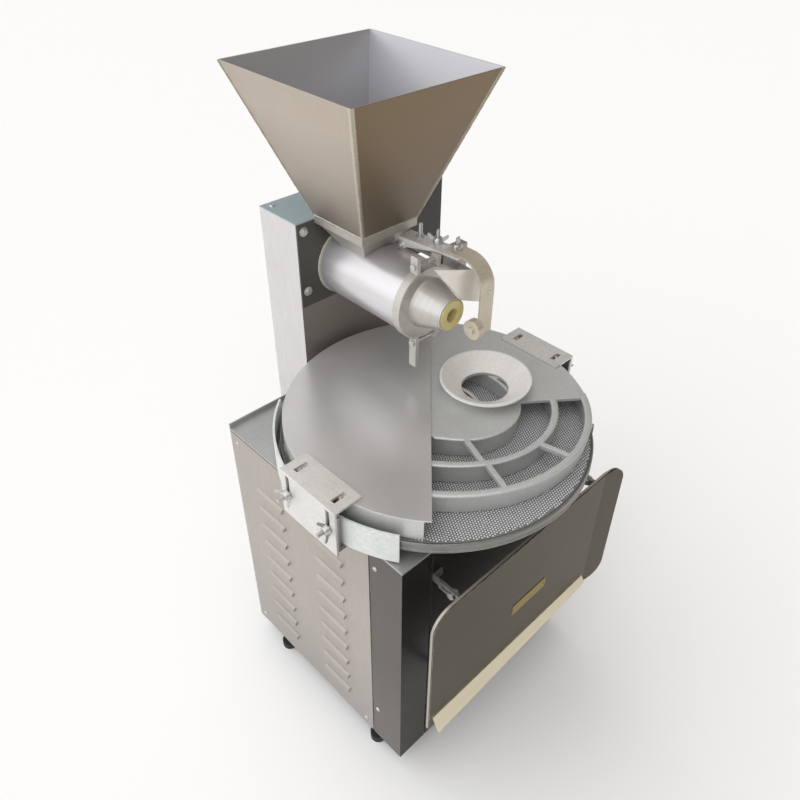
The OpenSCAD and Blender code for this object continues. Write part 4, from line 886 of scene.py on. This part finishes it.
def wall_radius(turn, angle):
    """Distance of a wall's middle from the disc's axis, in the open part of the track."""
    share = (angle - OPEN_FROM) / (OPEN_TO - OPEN_FROM)
    return WALL_RADII[turn] + (WALL_RADII[turn + 1] - WALL_RADII[turn]) * share * share * (3 - 2 * share)


caps, stations = [], 90
for turn in range(3):
    points, faces = [], []
    for i in range(stations + 1):
        angle = OPEN_FROM + (OPEN_TO - OPEN_FROM) * i / stations
        way = Vector((math.cos(math.radians(angle)), math.sin(math.radians(angle)), 0))
        radius = wall_radius(turn, angle)
        points += [way * (radius + out * MM) + Vector((0, 0, wall_top + up * MM)) for out, up in CAP]
    for i in range(stations):
        for j in range(len(CAP)):
            k = (j + 1) % len(CAP)
            first = i * len(CAP)
            faces.append((first + j, first + k, first + len(CAP) + k, first + len(CAP) + j))
    faces += [tuple(range(len(CAP)))[::-1], tuple(stations * len(CAP) + j for j in range(len(CAP)))]
    caps.append((points, faces))
join("track_caps", "track", cast_alloy, caps, sharp=60)

# %% [markdown]
# The front plate carries a small blank plate in a yellow metal. It is held by two rivets and has softened
# corners.

# %% Blank plate with its rivets
blank_y = plate_face - 0.0008
BLANK_HALF_W, BLANK_HALF_H, BLANK_Z = 0.0478, 0.0128, 0.396
RIVET_X, RIVET_R, RIVET_H = 0.042, 0.0022, 0.0010


def rounded_outline(half_w, half_h, radius, steps=6):
    """A rectangle round its middle, with round corners."""
    outline = []
    for sx, sy, start in ((1, -1, -90), (1, 1, 0), (-1, 1, 90), (-1, -1, 180)):
        for i in range(steps + 1):
            angle = math.radians(start + 90 * i / steps)
            outline.append((sx * (half_w - radius) + radius * math.cos(angle),
                            sy * (half_h - radius) + radius * math.sin(angle)))
    return outline


blank = [plate(rounded_outline(BLANK_HALF_W, BLANK_HALF_H, 0.003), (0, blank_y + 0.0009, BLANK_Z),
               (1, 0, 0), (0, 0, 1), 0.0012)]
for sign in (-1, 1):
    blank.append(screw_head((sign * RIVET_X, blank_y - 0.0003, BLANK_Z), (0, -1, 0), RIVET_R, RIVET_H,
                            cross=False))
join("blank_plate", "deflector", brass_plate, blank, 0.0003)

# %% [markdown]
# The control box has its buttons and knob on the right. Each button sits in a bright bezel, and the knob
# turns over a plain dial with marks. At rest its pointer stands at an end mark, where its travel starts.
# The knob itself is fluted for a grip, which a turned solid can't show, so it is replaced.

# %% Bezels, dial and knob
box_low, box_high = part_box("control_box")
box_x = box_high.x
control_y = (box_low.y + box_high.y) / 2
BEZEL = [(0.0114, 0), (0.0152, 0), (0.0152, 0.0016), (0.0142, 0.0030),
         (0.0124, 0.0034), (0.0114, 0.0028)]
bezels = []
for name in ("start_button", "stop_button"):
    low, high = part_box(name)
    z = (low.z + high.z) / 2
    bezels.append(turned(BEZEL + BEZEL[:1], (box_x, control_y, z), (1, 0, 0), 48))
join("button_bezels", "machine_base", bolt_steel, bezels)

knob_low, knob_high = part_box("speed_knob")
knob_z = (knob_low.z + knob_high.z) / 2
DIAL_MARKS, DIAL_START, DIAL_SWEEP = 11, 225, 270


def narrow_bar(start, end, half):
    """The outline of a narrow bar that points straight out from a middle."""
    return [(start, -half), (end, -half), (end, half), (start, half)]


marks = []
for i in range(DIAL_MARKS):
    angle = math.radians(DIAL_START - DIAL_SWEEP * i / (DIAL_MARKS - 1))
    way = Vector((0, math.cos(angle), math.sin(angle)))
    marks.append(plate(narrow_bar(0.0192, 0.0228, 0.0004), Vector((box_x, control_y, knob_z)),
                       way, Vector((1, 0, 0)).cross(way), 0.0003))
join("dial_marks", "machine_base", funnel_plastic, marks)

FLUTES = 18
outline = []
for i in range(FLUTES * 8):
    angle = 2 * math.pi * i / (FLUTES * 8)
    radius = 0.0150 - 0.0008 * max(0.0, math.cos(FLUTES * angle)) ** 2
    outline.append((radius * math.cos(angle), radius * math.sin(angle)))
grip = plate(outline, (box_x + 0.0035, control_y, knob_z), (0, 1, 0), (0, 0, 1), 0.0118)
skirt = [(0.0160, 0.0006), (0.0160, 0.0020), (0.0152, 0.0038), (0.0001, 0.0038)]
skirt = turned(skirt, (box_x, control_y, knob_z), (1, 0, 0), 64)
knob = join("fluted_knob", "knob", black_plastic, [grip, skirt], 0.0006, 2, 50)
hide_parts("speed_knob")
pointer = plate(narrow_bar(0.004, 0.0138, 0.0007), (box_x + 0.0153, control_y, knob_z),
                (0, 1, -1), (0, 1, 1), 0.0004)
join("knob_pointer", "knob", funnel_plastic, [pointer])

# %% [markdown]
# A lid closes the box in front. It is a thin plate with round corners and four screws, and it stands a
# little proud.

# %% Lid of the control box
lid_mid = Vector(((box_low.x + box_high.x) / 2, box_low.y, (box_low.z + box_high.z) / 2))
half_w, half_h = (box_high.x - box_low.x) / 2 - 0.008, (box_high.z - box_low.z) / 2 - 0.008
join("box_lid", "machine_base", box_paint,
     [plate(rounded_outline(half_w, half_h, 0.006), lid_mid + Vector((0, 0.0002, 0)),
            (1, 0, 0), (0, 0, 1), 0.0018)], 0.0005)
lid_screws = []
for sx in (-1, 1):
    for sz in (-1, 1):
        corner = lid_mid + Vector((sx * (half_w - 0.009), -0.0016, sz * (half_h - 0.009)))
        lid_screws.append(screw_head(corner, (0, -1, 0), 0.0038, 0.002))
join("box_lid_screws", "machine_base", bolt_steel, lid_screws)

# %% [markdown]
# Behind, the column is closed by a cover that can be taken off to reach the gearmotor. It has air slots low
# down.

# %% Rear cover of the column
shell_low, shell_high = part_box("column_shell")
COVER_Z, COVER_EDGE, COVER_SCREW_INSET = 0.60, 0.014, 0.012
VENT_COUNT, VENT_LOW, VENT_STEP = 6, -0.30, 0.016
cover_mid = Vector(((shell_low.x + shell_high.x) / 2, shell_high.y, COVER_Z))
cover_half_w, cover_half_h = (shell_high.x - shell_low.x) / 2 - COVER_EDGE, 0.345
screw_x, screw_z = cover_half_w - COVER_SCREW_INSET, cover_half_h - COVER_SCREW_INSET
join("column_cover", "machine_base", column_steel,
     [plate(rounded_outline(cover_half_w, cover_half_h, 0.008), cover_mid - Vector((0, 0.0002, 0)),
            (-1, 0, 0), (0, 0, 1), 0.0016)], 0.0005)
rear = []
for sx in (-1, 1):
    for sz in (-1, 0, 1):
        spot = cover_mid + Vector((sx * screw_x, 0.0014, sz * screw_z))
        rear.append(screw_head(spot, (0, 1, 0), HEAD_R, HEAD_H))
join("column_cover_screws", "machine_base", bolt_steel, rear)
slots = []
for i in range(VENT_COUNT):
    spot = cover_mid + Vector((0, 0.0013, VENT_LOW + VENT_STEP * i))
    slots.append(plate(rounded_outline(0.045, 0.0032, 0.0031), spot, (-1, 0, 0), (0, 0, 1), 0.0004))
join("column_air_slots", "machine_base", black_plastic, slots)
